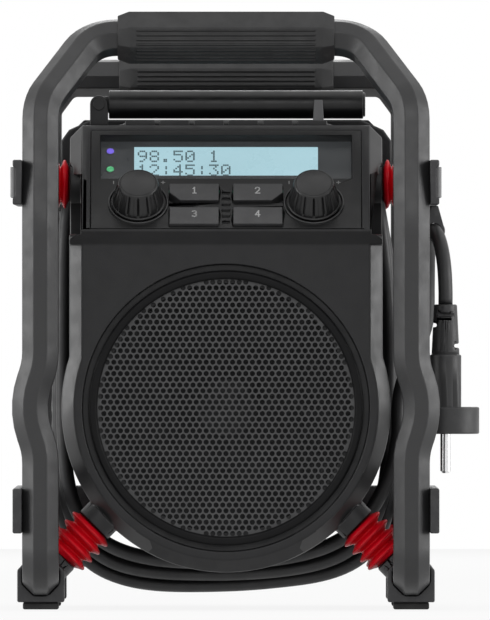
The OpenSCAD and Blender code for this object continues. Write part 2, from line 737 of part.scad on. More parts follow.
module rear_cover() {
    face = back_y;
    color([0.09, 0.09, 0.1]) difference() {
        union() {
            difference() {
                mirror([0, 1, 0]) body_block(0, -face, -neck_end_y, rear_top);
                top_corners(rear_top);
                difference() {
                    from_front([neck_end_y + shell_t, face - shell_t])
                        body_outline(shell_t, rear_top - shell_t);
                    for (s = [-1, 1], p = case_screws) translate([s * p[0], 0, p[1]])
                        along_y(5.5, [neck_end_y, face]);
                }
                difference() {
                    from_front([neck_end_y - 1, face - shell_t]) neck_outline(-shell_t);
                    for (s = [-1, 1], p = case_screws) translate([s * p[0], 0, p[1]])
                        along_y(5.5, [neck_end_y, face]);
                }
                box([-door_w / 2 - door_gap, face - shell_t - 1, door_z[0] - door_gap],
                    [door_w / 2 + door_gap, face + 1, door_z[1] + door_gap]);
            }
            translate([screw_x, 0, screw_z]) along_y(screw_boss_r, [face - 14, face - door_t - gap]);
            box([screw_x - 3, face - 14, screw_z + 2], [screw_x + 3, face - shell_t - gap, door_z[1] + 6]);
            box([screw_x - 3, face - 8, door_z[1] + 1], [screw_x + 3, face - shell_t + 1, door_z[1] + 6]);
            for (s = [0, 1]) mirror([s, 0, 0]) lower_boss(mount_y);
        }
        translate([-door_w / 2 + door_t / 2, face - door_t / 2, 0])
            along_z(1 + run_fit, [door_z[0] - 3.5, door_z[1] + 3.5]);
        translate([screw_x, 0, screw_z]) along_y(screw_r + 2 * slip, [face - 12, face]);
        for (s = [-1, 1], p = case_screws) translate([s * p[0], 0, p[1]]) {
            along_y(case_screw_r + 2 * gap, [neck_end_y - 1, face + 1]);
            along_y(case_head_r + gap, [face - 4, face + 1]);
        }
        box([port_x - port_w / 2 - gap, face - port_t - 0.2, port_z - port_h / 2 - gap],
            [port_x + port_w / 2 + gap, face + 1, port_z + port_h / 2 + gap]);
        translate([0, face - port_t / 2, port_z + (port_h - port_t) / 2]) along_x(port_pin_r + run_fit,
            [port_x - port_w / 2 - port_pin_out - gap, port_x + port_w / 2 + port_pin_out + gap], 24);
        box([port_x + sockets[0] - socket_w / 2 - gap, face - 5, port_z + socket_ends[0] + gap],
            [port_x + sockets[1] + socket_w / 2 + gap, face, port_z + socket_ends[1] + gap]);
        translate([port_x + jack_at[0], 0, port_z + jack_at[1]]) along_y(jack_r + gap, [face - 5, face]);
    }
}

module control_panel() {
    floor_z = -recess_d - lcd_t;
    color([0.08, 0.08, 0.09]) difference() {
        at_panel() {
            box([-panel_half_w, panel_ends[0], -panel_t], [panel_half_w, panel_ends[1], 0]);
            box([-window_w / 2 - window_frame, window_ends[0] - window_frame, floor_z],
                [window_w / 2 + window_frame, window_ends[1] + window_frame, 0]);
            for (s = [-1, 1]) translate([s * knob_x, knob_s, 0]) along_z(collar_r, [-0.5, 0.8], round_fn);
        }
        at_panel() {
            box([-window_w / 2, window_ends[0], -recess_d], [window_w / 2, window_ends[1], 5]);
            box([-lcd_w / 2 - lcd_frame - seat, lcd_s - lcd_l / 2 - lcd_edge - seat, floor_z - 1],
                [lcd_w / 2 + lcd_frame + seat, lcd_s + lcd_l / 2 + lcd_edge + seat, 0]);
            for (s = led_s) translate([led_x, s, 0]) along_z(led_r + seat, [floor_z - 1, 0], 24);
            for (s = [-1, 1]) translate([s * knob_x, knob_s, 0]) {
                along_z(collar_r - 1, [0, 5], round_fn);
                along_z(shaft_r + 1, [-panel_t - 1, 5]);
            }
            for (x = [-button_x, button_x], s = button_rows)
                box([x - button_w / 2 - gap, s - button_l / 2 - gap, -panel_t - 1],
                    [x + button_w / 2 + gap, s + button_l / 2 + gap, 5]);
            for (s = [button_rows[0] - 3 : 4 : button_rows[1] + 3])
                box([-2, s - 1, -1], [2, s + 1, 5]);
        }
    }
}

module display_window() {
    color([0.55, 0.6, 0.62, 0.4]) at_panel()
        box([seat - window_w / 2, window_ends[0] + seat, -window_drop - window_t],
            [window_w / 2 - seat, window_ends[1] - seat, -window_drop]);
}

module lcd_module() {
    color([0.72, 0.86, 0.9]) at_panel(0, lcd_s, -recess_d - lcd_t) {
        box([-lcd_w / 2 - lcd_frame, -lcd_l / 2 - lcd_edge, 0],
            [lcd_w / 2 + lcd_frame, lcd_l / 2 + lcd_edge, lcd_t]);
        for (x = [-lcd_feet[0], lcd_feet[0]])
            box([x - lcd_feet[1] / 2, -lcd_feet[2] / 2, -3], [x + lcd_feet[1] / 2, lcd_feet[2] / 2, 0.1]);
    }
}

module led_lenses() {
    for (s = led_s) color([0.4, 0.3, 0.9]) at_panel(led_x, s, 0)
        along_z(led_r, [-recess_d - lcd_t, -recess_d + 0.5], 24);
}

module display_board() {
    board_z = -board_depth;
    color([0.05, 0.3, 0.12]) at_panel() difference() {
        union() {
            box([-board_half_w, board_ends[0], board_z - board_t],
                [board_half_w, board_ends[1], board_z]);
            for (x = [-button_x, button_x], s = button_rows)
                box([x - switch_w / 2, s - switch_w / 2, board_z - 0.1],
                    [x + switch_w / 2, s + switch_w / 2, -flange_z - 1 - switch_gap]);
            for (s = [-1, 1]) translate([s * knob_x, knob_s, 0])
                box([-7, -7, board_z - 0.1], [7, 7, -8]);
        }
        for (s = [-1, 1]) translate([s * knob_x, knob_s, 0])
            along_z(shaft_r + run_fit, [board_z + 1, 0]);
    }
}

module main_board() {
    top = port_z - board_drop;
    color([0.05, 0.3, 0.12]) difference() {
        box([-main_board_x, main_board_front, top - board_t], [main_board_x, back_y - main_board_back, top]);
        for (s = [-1, 1]) translate([s * case_screws[0][0], 0, 0])
            box([-main_board_notch[0], neck_end_y - main_board_notch[1], top - 3],
                [main_board_notch[0], back_y, top + 1]);
    }
    color([0.6, 0.6, 0.62]) {
        for (x = sockets)
            box([port_x + x - socket_w / 2, back_y - socket_l, top - 0.01],
                [port_x + x + socket_w / 2, back_y - shell_t, port_z + socket_ends[1]]);
    }
    color([0.1, 0.1, 0.1]) translate([port_x + jack_at[0], 0, port_z + jack_at[1]]) {
        along_y(jack_r, [back_y - jack_l, back_y - shell_t]);
        box([-3, back_y - socket_l, -board_drop - jack_at[1] - 0.05], [3, back_y - 10, 3]);
    }
    color([0.1, 0.1, 0.1]) for (x = [-30, 0]) translate([x, 20, top]) {
        box([-7, -7, -0.01], [7, 7, 1.5]);
        translate([0, 20, 0]) along_z(4, [-0.01, 12], 32);
    }
}

// The perforated grille is a solid disc here; its ring holds it against the housing
module speaker_grille() {
    color([0.2, 0.2, 0.21]) translate([0, 0, speaker_z])
        along_y(grille_r + 1.6, [face_y + 1, face_y + ring_depth - seat], round_fn);
}

module grille_ring() {
    color([0.07, 0.07, 0.08]) translate([0, 0, speaker_z]) rotate([90, 0, 0])
        rotate_extrude($fn = round_fn) polygon([
            [ring_outer_r, -face_y - ring_depth], [ring_outer_r, -face_y],
            [ring_outer_r - 1, -face_y + 1], [grille_r + 1, -face_y + 1], [grille_r, -face_y],
            [grille_r, -face_y - 1 + seat], [grille_r + 1.6 + seat, -face_y - 1 + seat],
            [grille_r + 1.6 + seat, -face_y - ring_depth]]);
}

module speaker_basket() {
    color([0.3, 0.3, 0.31]) translate([0, 0, speaker_z]) difference() {
        rotate([-90, 0, 0]) rotate_extrude($fn = round_fn) polygon([
            [basket_r - 6, flange_back + seat], [basket_r, flange_back + seat],
            [basket_r, flange_back + 2], [basket_r - 5, flange_back + 2],
            [magnet_r, waist_y + 3], [10, waist_y + 3], [10, waist_y + 1.2],
            [magnet_r - 1, waist_y + 1.2], [basket_r - 6, flange_back + 1.6]]);
        for (a = [0 : 60 : 300]) rotate([0, a, 0])
            box([magnet_r + 3, flange_back + 3, -12], [basket_r - 9, waist_y + 4, 12]);
    }
}

module speaker_cone() {
    front = flange_back + 1;
    color([0.12, 0.12, 0.12]) translate([0, 0, speaker_z]) rotate([-90, 0, 0])
        rotate_extrude($fn = round_fn) polygon([
            [0, waist_y - 4], [14, waist_y - 5], [cone_r - 4, front + 0.8],
            [cone_r, front], [cone_r, front + 0.6], [cone_r - 4, front + 1.6], [14, waist_y - 3.6],
            [8, waist_y + 1], [0, waist_y + 1]]);
}

module speaker_magnet() {
    color([0.22, 0.22, 0.23]) translate([0, 0, speaker_z])
        along_y(magnet_r, [waist_y + 3 + seat, waist_y + 3 + magnet_h], 64);
}

module transformer() {
    z = shelf_z[1] + seat;
    color([0.75, 0.5, 0.15]) translate([coil_at[0], coil_at[1], z + coil_wire_r - 0.5])
        rotate_extrude($fn = 64) translate([coil_r, 0]) scale([1, 0.93]) circle(r = coil_wire_r, $fn = 16);
    color([0.3, 0.3, 0.31]) translate([coil_at[0], coil_at[1], 0]) {
        along_z(2, [z, z + 2 * coil_wire_r]);
        along_z(coil_r + 1, [z + 2 * coil_wire_r - 1.4, z + 2 * coil_wire_r - 0.4], 32);
    }
}

module battery_tray() {
    x = tray_w / 2;
    z = [tray_z - tray_h / 2, tray_z + tray_h / 2];
    pitch = cell_d + 1;
    color([0.1, 0.1, 0.11]) difference() {
        box([-x, tray_y[0], z[0]], [x, tray_y[1], z[1]]);
        for (i = [0 : cell_rows - 1])
            box([tray_t - x, tray_y[0] + tray_t, z[0] + tray_t + i * pitch],
                [x - tray_t, tray_y[1] + 1, z[0] + tray_t + i * pitch + (i < cell_rows - 1 ? 33 : pitch)]);
    }
}

module battery_cells() {
    pitch = cell_d + 1;
    y = tray_y[0] + tray_t + gap + cell_d / 2;
    for (i = [0 : cell_rows - 1], s = [-1, 1]) color([0.5, 0.35, 0.15])
        translate([0, y, tray_z - tray_h / 2 + tray_t + gap / 2 + cell_d / 2 + i * pitch]) {
            along_x(cell_d / 2 - gap / 2, s < 0 ? [-cell_l - 0.5, -3.5] : [0.5, cell_l - 2.5]);
            along_x(4.5, s < 0 ? [-4, -0.5] : [cell_l - 3, cell_l + 0.5], 24);
        }
}

module knob(x) {
    r = knob_d / 2;
    color([0.12, 0.12, 0.13]) at_panel(x, knob_s, knob_gap) difference() {
        union() {
            along_z(r, [0, 1.2], round_fn);
            cylinder(r1 = r - 0.7, r2 = r - knob_taper, h = knob_h - 0.6, $fn = 24);
            along_z(r - knob_taper - 0.4, [0, knob_h], round_fn);
        }
        along_z(shaft_r + run_fit, [-1, knob_h - 3]);
    }
}
module knob_left() { knob(-knob_x); }
module knob_right() { knob(knob_x); }

module shaft(x) {
    color([0.65, 0.65, 0.66]) at_panel(x, knob_s, 0)
        along_z(shaft_r, [1.5 - board_depth, knob_h + knob_gap - 3.2]);
}
module shaft_left() { shaft(-knob_x); }
module shaft_right() { shaft(knob_x); }

// Push buttons 1 and 2 are the upper row from the left, 3 and 4 the lower row
module button(col, row) {
    w = button_w / 2;
    l = button_l / 2;
    c = button_chamfer;
    color([0.16, 0.16, 0.17]) at_panel(col * button_x, button_rows[row], 0) {
        mirror([col > 0 ? 1 : 0, 0, 0]) translate([0, 0, -flange_z - 1])
            linear_extrude(flange_z + 1 + button_proud) polygon(row == 1
                ? [[-w, l], [-w, c - l], [c - w, -l], [w, -l], [w, l]]
                : [[-w, l], [-w, -l], [w, -l], [w, l]]);
        box([-w - 1.4, 1 - l, -flange_z - 1], [w + 1.4, l - 1, -flange_z]);
    }
}
module button_1() { button(-1, 1); }
module button_2() { button(1, 1); }
module button_3() { button(-1, 0); }
module button_4() { button(1, 0); }

module battery_door() {
    x = door_w / 2;
    r = door_t / 2;
    color([0.09, 0.09, 0.1]) difference() {
        union() {
            box([r - x, back_y - door_t, door_z[0]], [x, back_y, door_z[1]]);
            translate([r - x, back_y - r, 0]) along_z(r, door_z);
            translate([r - x, back_y - r, 0]) along_z(1, [door_z[0] - 3, door_z[1] + 3]);
            for (i = [-2 : 2])
                box([12 * i - 3, back_y - 0.1, tray_z - 30], [12 * i + 3, back_y + 0.8, tray_z + 30]);
        }
        translate([screw_x, 0, screw_z]) {
            along_y(screw_r + run_fit, [back_y - 5, back_y + 1]);
            along_y(screw_head_r + 0.5, [back_y - 1.2, back_y + 1]);
        }
    }
}

module door_screw() {
    color([0.3, 0.3, 0.31]) translate([screw_x, 0, screw_z]) difference() {
        union() {
            along_y(screw_r, [back_y - 11, back_y - 1]);
            along_y(screw_head_r, [back_y - 1.2 + run_fit, back_y + 1.6]);
        }
        rotate([0, 45, 0]) box([-screw_head_r - 1, back_y + 0.4, -0.9], [screw_head_r + 1, back_y + 2, 0.9]);
    }
}

module port_cover() {
    x = [port_x - port_w / 2, port_x + port_w / 2];
    r = port_t / 2;
    top = port_z + port_h / 2;
    color([0.06, 0.06, 0.06]) {
        box([x[0], back_y - port_t, port_z - port_h / 2], [x[1], back_y, top - r]);
        translate([0, back_y - r, top - r]) {
            along_x(r, x, 24);
            along_x(port_pin_r, [x[0] - port_pin_out, x[1] + port_pin_out], 24);
        }
        box([port_x - 6, back_y - 0.1, port_z - port_h / 2 + 1],
            [port_x + 6, back_y + 1.4, port_z - port_h / 2 + 3.4]);
    }
}

module antenna_base() {
    foot = [top_z, top_z + 1.8];
    color([0.07, 0.07, 0.08]) translate([antenna_x, antenna_y, 0]) difference() {
        union() {
            box([-4.4, -6.2, foot[0]], [4.4, 6.2, foot[1]]);
            for (s = [0, 1]) mirror([0, s, 0]) {
                box([-4.4, fork_w / 2 + slip, foot[0]], [4.4, 6.2, antenna_z]);
                translate([0, 0, antenna_z]) along_y(4.4, [fork_w / 2 + slip, 6.2]);
            }
        }
        translate([0, 0, antenna_z]) along_y(1.5 + run_fit, [-10, 10]);
    }
}

module antenna_barrel() {
    r = antenna_d / 2;
    end = antenna_l;
    color([0.06, 0.06, 0.07]) translate([antenna_x, antenna_y, antenna_z]) difference() {
        union() {
            along_x(r, [4.8, end - 1], round_fn);
            along_x(r - 1, [end - 1.5, end], round_fn);
            along_y(4, [-fork_w / 2, fork_w / 2]);
            box([0, -fork_w / 2, -4], [6, fork_w / 2, 4]);
        }
        along_y(1.5 + run_fit, [-10, 10]);
    }
}

module antenna_pin() {
    color([0.6, 0.6, 0.6]) translate([antenna_x, antenna_y, antenna_z]) {
        along_y(1.5, [-6.4, 6.4]);
        along_y(2.8, [-7.6, -6.3]);
    }
}

// Two tapered prongs that hold the folded antenna between them
module antenna_clip() {
    r = antenna_d / 2;
    color([0.45, 0.45, 0.46]) translate([clip_x, antenna_y, top_z]) {
        box([-3, -r - 2.2, 0], [3, r + 2.2, 1.6]);
        for (s = [0, 1]) mirror([0, s, 0])
            translate([0, r + 2.2, 0]) rotate([90, 0, 0]) linear_extrude(2)
                polygon([[-2.8, 0], [2.8, 0], [2, prong_h], [-2, prong_h]]);
    }
}

module housing_screws() {
    for (s = [-1, 1], p = case_screws) color([0.25, 0.25, 0.26]) translate([s * p[0], 0, p[1]])
        difference() {
            union() {
                along_y(case_screw_r, [neck_end_y - 14, back_y - 3]);
                along_y(case_head_r, [back_y - 4 + seat, back_y - 1]);
            }
            along_y(1.6, [back_y - 2.6, back_y], 6);
        }
}

module cord_gland() {
    z = shoulder_z[0] - seat;
    color([0.06, 0.06, 0.06]) translate([gland_x, gland_y, 0]) difference() {
        union() {
            along_z(5, [z - 4, z]);
            translate([0, 0, z - relief_l]) cylinder(r1 = 4.2, r2 = 6, h = relief_l - 3, $fn = small_fn);
        }
        along_z(cord_r + seat, [z - relief_l - 1, z + 1]);
        for (i = [0 : 3]) translate([0, 0, z - relief_l + 3 + i * 5])
            rotate(i * 90) box([0.8, -8, 0], [8, 8, 1.6]);
    }
}

// Cord laid along p as one polyhedron, with a ring of points at each end and every step between
module cord(p) {
    n = 10;
    m = len(p);
    rings = [for (i = [0 : m - 1])
        let (z = unit(p[min(i + 1, m - 1)] - p[max(i - 1, 0)]), y = unit(cross(z, [1, 0, 0])),
            x = cross(y, z))
        for (k = [0 : n - 1]) p[i] + cord_r * (x * cos(360 * k / n) + y * sin(360 * k / n))];
    color([0.04, 0.04, 0.04]) polyhedron(rings, concat(
        [[for (k = [0 : n - 1]) k]],
        [for (i = [0 : m - 2], k = [0 : n - 1]) let (a = i * n, b = a + n, j = (k + 1) % n)
            for (f = [[a + k, b + k, b + j], [a + k, b + j, a + j]]) f],
        [[for (k = [n - 1 : -1 : 0]) (m - 1) * n + k]]));
}
module cord_lead() { cord(lead_route); }
module cord_tail() { cord(tail_route); }

module cord_winding() {
    color([0.04, 0.04, 0.04]) from_front(winding_y) difference() {
        polygon(smooth_loop(winding_outline, 2));
        neck_outline(gap);
    }
}

// Ring around the cord under the right upper plate, tied to the plate by a strap
module cord_clip() {
    top = upper_z - upper_h / 2 - seat;
    color([0.08, 0.08, 0.08]) difference() {
        union() {
            translate(clip_at) rotate([0, 0, clip_turn]) along_y(clip_r, [-3, 3]);
            translate(clip_at) rotate([0, 0, clip_turn]) from_front([-3, 3]) polygon([
                [-clip_r, 0], [clip_r, 0], [clip_hang[1], top - clip_at[2]],
                [clip_hang[0], top - clip_at[2]]]);
        }
        translate(clip_at) rotate([0, 0, clip_turn]) along_y(cord_r + gap, [-12, 12]);
    }
}

module plug_body() {
    z = plug_top_z;
    color([0.07, 0.07, 0.07]) translate([plug_x, plug_y, 0]) difference() {
        union() {
            difference() {
                translate([0, 0, z - relief_from])
                    cylinder(r1 = plug_half_w - 0.8, r2 = plug_top_r, h = relief_from, $fn = small_fn);
                for (i = [0 : 3]) translate([0, 0, z - 21 + i * 5]) rotate(i * 90)
                    box([4.2, -9, 0], [9, 9, 1.8]);
            }
            translate([0, 0, z - 54]) linear_extrude(29.6) hull() for (s = [-1, 1])
                translate([0, s * 7]) circle(r = plug_half_w, $fn = 32);
            along_z(plug_flange_r, [z - plug_l, z - plug_l + plug_flange_l], 64);
        }
        for (s = [-1, 1]) translate([0, s * pin_gap / 2, 0])
            along_z(pin_root_r + run_fit, [z - plug_l - 1, z - plug_l + plug_flange_l - gap]);
    }
}

// Pins with a thicker root that fills the plug's bores
module plug_pins() {
    z = plug_top_z - plug_l;
    for (s = [-1, 1]) color([0.8, 0.8, 0.8]) translate([plug_x, plug_y + s * pin_gap / 2, 0]) {
        along_z(pin_root_r, [z, z + 10]);
        along_z(pin_r, [z - pin_l + 1, z + 1]);
        translate([0, 0, z - pin_l]) cylinder(r1 = pin_r - 1, r2 = pin_r, h = 1.01, $fn = small_fn);
    }
}

front_hoop();
rear_hoop();
front_grip();
rear_grip();
upper_plate_left();
upper_plate_right();
plate_caps();
lower_plate_left();
lower_plate_right();
rear_crossbar();
foot_front_left();
foot_front_right();
foot_rear_left();
foot_rear_right();
foot_pads();
frame_bolts();
lower_bellows();
upper_bellows();
front_housing();
rear_housing();
rear_cover();
housing_seal();
control_panel();
display_window();
lcd_module();
led_lenses();
display_board();
main_board();
speaker_grille();
grille_ring();
speaker_basket();
speaker_cone();
speaker_magnet();
transformer();
battery_tray();
battery_cells();
knob_left();
knob_right();
shaft_left();
shaft_right();
button_1();
button_2();
button_3();
button_4();
battery_door();
door_screw();
port_cover();
antenna_base();
antenna_barrel();
antenna_pin();
antenna_clip();
housing_screws();
cord_gland();
cord_lead();
cord_winding();
cord_tail();
cord_clip();
plug_body();
plug_pins();
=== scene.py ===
import json
import math
import bmesh
import bpy
import numpy as np
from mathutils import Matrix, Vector

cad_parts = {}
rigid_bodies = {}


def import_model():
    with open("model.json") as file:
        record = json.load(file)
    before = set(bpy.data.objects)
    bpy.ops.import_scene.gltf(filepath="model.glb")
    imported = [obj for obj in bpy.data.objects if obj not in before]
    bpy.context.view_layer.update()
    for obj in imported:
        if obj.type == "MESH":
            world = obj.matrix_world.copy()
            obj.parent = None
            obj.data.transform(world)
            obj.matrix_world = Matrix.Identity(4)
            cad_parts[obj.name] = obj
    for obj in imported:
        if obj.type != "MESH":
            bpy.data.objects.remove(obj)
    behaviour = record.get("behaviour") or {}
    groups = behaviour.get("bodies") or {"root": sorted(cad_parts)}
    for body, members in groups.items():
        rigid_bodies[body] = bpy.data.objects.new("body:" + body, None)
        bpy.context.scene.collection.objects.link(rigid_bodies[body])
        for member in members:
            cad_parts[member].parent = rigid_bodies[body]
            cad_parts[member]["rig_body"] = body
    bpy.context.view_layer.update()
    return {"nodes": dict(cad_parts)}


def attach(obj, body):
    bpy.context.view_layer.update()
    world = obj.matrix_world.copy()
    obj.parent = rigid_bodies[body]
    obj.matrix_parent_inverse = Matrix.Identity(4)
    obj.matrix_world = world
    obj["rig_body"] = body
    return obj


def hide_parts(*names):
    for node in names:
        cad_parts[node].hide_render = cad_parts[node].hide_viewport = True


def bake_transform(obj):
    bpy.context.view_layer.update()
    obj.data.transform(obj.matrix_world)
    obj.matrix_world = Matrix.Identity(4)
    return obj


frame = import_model()
MM = 0.001                                         # lengths are in millimetres, unless said
SPEAKER_Z = 97.8                                   # height of the speaker's axis
NODES = frame["nodes"]
BODY_OF = {n: o["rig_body"] for n, o in NODES.items()}


# ---------------------------------------------------------------- small helpers

def link(obj):
    """Puts an object in the scene."""
    bpy.context.scene.collection.objects.link(obj)
    return obj


def mesh_object(name, verts, faces, body=None, smooth=True):
    """A mesh piece from vertices in millimetres."""
    me = bpy.data.meshes.new(name)
    me.from_pydata([Vector(v) * MM for v in verts], [], faces)
    me.validate()
    me.update()
    bm = bmesh.new()
    bm.from_mesh(me)
    bmesh.ops.recalc_face_normals(bm, faces=bm.faces)
    bm.to_mesh(me)
    bm.free()
    obj = link(bpy.data.objects.new(name, me))
    if smooth:
        me.polygons.foreach_set("use_smooth", [True] * len(me.polygons))
    if body:
        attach(obj, body)
    return obj


def bevel(obj, width, segments):
    """Rounds the edges that carry a bevel weight."""
    mod = obj.modifiers.new("bevel", "BEVEL")
    mod.width = width * MM
    mod.segments = segments
    mod.limit_method = "WEIGHT"
    mod.use_clamp_overlap = False
    mod.miter_outer = "MITER_ARC"
    mod.loop_slide = False


SMOOTH_WITHIN = math.cos(math.radians(40))         # faces closer in direction shade as one
TINY = 1e-15                                       # a summed normal below this has no direction


def shade_by_area(obj):
    """Applies the modifiers and gives each corner a normal from its smooth neighbours, by area."""
    graph = bpy.context.evaluated_depsgraph_get()
    me = bpy.data.meshes.new_from_object(obj.evaluated_get(graph))
    obj.modifiers.clear()
    obj.data = me
    corners, faces = len(me.loops), len(me.polygons)
    vert = np.empty(corners, dtype=np.int64)
    me.loops.foreach_get("vertex_index", vert)
    count = np.empty(faces, dtype=np.int64)
    me.polygons.foreach_get("loop_total", count)
    normal = np.empty(3 * faces, dtype=np.float32)
    me.polygons.foreach_get("normal", normal)
    size = np.empty(faces, dtype=np.float32)
    me.polygons.foreach_get("area", size)
    face = np.repeat(np.arange(faces), count)
    normal = normal.reshape(-1, 3)[face].astype(np.float64)
    weighted = normal * size[face][:, None]
    # every pair of corners that share a vertex
    order = np.argsort(vert, kind="stable")
    start = np.flatnonzero(np.diff(vert[order], prepend=-1))
    sharing = np.diff(np.append(start, corners))
    per = np.repeat(sharing, sharing)
    own = np.repeat(np.arange(corners), per)
    offset = np.arange(len(own)) - np.repeat(np.cumsum(per) - per, per)
    other = order[np.repeat(np.repeat(start, sharing), per) + offset]
    own = order[own]
    near = np.einsum("ij,ij->i", normal[own], normal[other]) > SMOOTH_WITHIN
    total = np.stack([np.bincount(own[near], weighted[other[near], i], corners)
                      for i in range(3)], 1)
    length = np.linalg.norm(total, axis=1)[:, None]
    total = np.where(length > TINY, total / np.maximum(length, TINY), normal)
    me.polygons.foreach_set("use_smooth", [True] * faces)
    free = me.attributes.new("custom_normal", "FLOAT_VECTOR", "CORNER")
    free.data.foreach_set("vector", total.astype(np.float32).ravel())
    me.update()


SMALL_HOLE = 0.040                                 # metres; smaller holes keep a crisp rim


def small_holes(region):
    """The edges around the small holes of a flat region."""
    rim = {e for f in region for e in f.edges if sum(g in region for g in e.link_faces) == 1}
    loops = []
    while rim:
        queue = [rim.pop()]
        loop = []
        while queue:
            edge = queue.pop()
            loop.append(edge)
            for v in edge.verts:
                for other in v.link_edges:
                    if other in rim:
                        rim.remove(other)
                        queue.append(other)
        co = [v.co for e in loop for v in e.verts]
        size = math.dist([min(c[i] for c in co) for i in range(3)],
                         [max(c[i] for c in co) for i in range(3)])
        loops.append((size, loop))
    loops.sort(key=lambda item: -item[0])
    return {e for size, loop in loops[1:] if size < SMALL_HOLE for e in loop}


def join_flat(bm, limit):
    """Merges each flat region without holes into one face; returns the rims of small holes."""
    done, crisp, inner = set(), set(), []
    for face in bm.faces:
        if face in done:
            continue
        region, queue = {face}, [face]
        while queue:
            for edge in queue.pop().edges:
                if len(edge.link_faces) == 2 and edge.calc_face_angle() < limit:
                    for other in edge.link_faces:
                        if other not in region:
                            region.add(other)
                            queue.append(other)
        done |= region
        verts = {v for f in region for v in f.verts}
        edges = {e for f in region for e in f.edges}
        if len(verts) - len(edges) + len(region) == 1:
            inner += [e for e in edges if sum(f in region for f in e.link_faces) == 2]
        else:
            crisp |= small_holes(region)
    bm.edges.index_update()
    inner.sort(key=lambda e: e.index)              # sets have no order: this makes runs alike
    bmesh.ops.dissolve_limit(bm, angle_limit=limit, verts=[], edges=inner)
    return crisp


BOSS_FROM = 79.95                                  # mount bosses lie farther from the axis
CHAMFER_X, CHAMFER_Y = 0.35, (-0.97, -0.2)         # how far a chamfer's normal leans to each


def is_chamfer(face):
    """Whether a face of the front housing is a flank's chamfer, and not part of a mount boss; such
    faces take a painted highlight.
    """
    x, z = face.center.x / MM, face.center.z / MM - SPEAKER_Z
    boss = z < 0 and math.hypot(x, z) > BOSS_FROM
    leans = abs(face.normal.x) > CHAMFER_X and CHAMFER_Y[0] < face.normal.y < CHAMFER_Y[1]
    return leans and not boss


WELD, SLIVER = 2e-6, 1e-6                          # metres
FLAT = math.radians(0.6)                           # faces closer in direction are one flat region


def skin(node, width, mat, segments=2, angle=32, highlight_mat=None):
    """A copy of a CAD node with rounded edges, standing for that node.

    Edges sharper than angle, in degrees, are rounded by width. The last argument is a lighter copy
    of mat for the chamfers: a painted highlight."""
    me = NODES[node].data.copy()
    me.materials.clear()
    if "custom_normal" in me.attributes:
        me.attributes.remove(me.attributes["custom_normal"])
    bm = bmesh.new()
    bm.from_mesh(me)
    bmesh.ops.remove_doubles(bm, verts=bm.verts, dist=WELD)
    bmesh.ops.dissolve_degenerate(bm, dist=SLIVER, edges=bm.edges)
    weight = bm.edges.layers.float.new("bevel_weight_edge")   # comes first: it ends old handles
    crisp = join_flat(bm, FLAT)
    for e in bm.edges:
        if len(e.link_faces) == 2 and e not in crisp and e.calc_face_angle() > math.radians(angle):
            e[weight] = 1.0
    bm.to_mesh(me)
    bm.free()
    obj = link(bpy.data.objects.new(node + "_skin", me))
    if width:
        bevel(obj, width, segments)
    shade_by_area(obj)
    me = obj.data
    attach(obj, BODY_OF[node])
    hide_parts(node)
    me.materials.append(mat)
    if highlight_mat:
        me.materials.append(highlight_mat)
        # chamfer faces take the lighter copy: a painted highlight
        for face in me.polygons:
            if is_chamfer(face):
                face.material_index = 1
    return obj


def dress(obj, mat):
    """Gives a piece its material."""
    obj.data.materials.clear()
    obj.data.materials.append(mat)


# ---------------------------------------------------------------- materials

BLOTCH, STREAK, SPECK, SCUFF, SHEEN = 45.0, 900, 700, 160, 120   # noise scales, per metre
GRAIN_DEPTH = 0.0002                               # metres


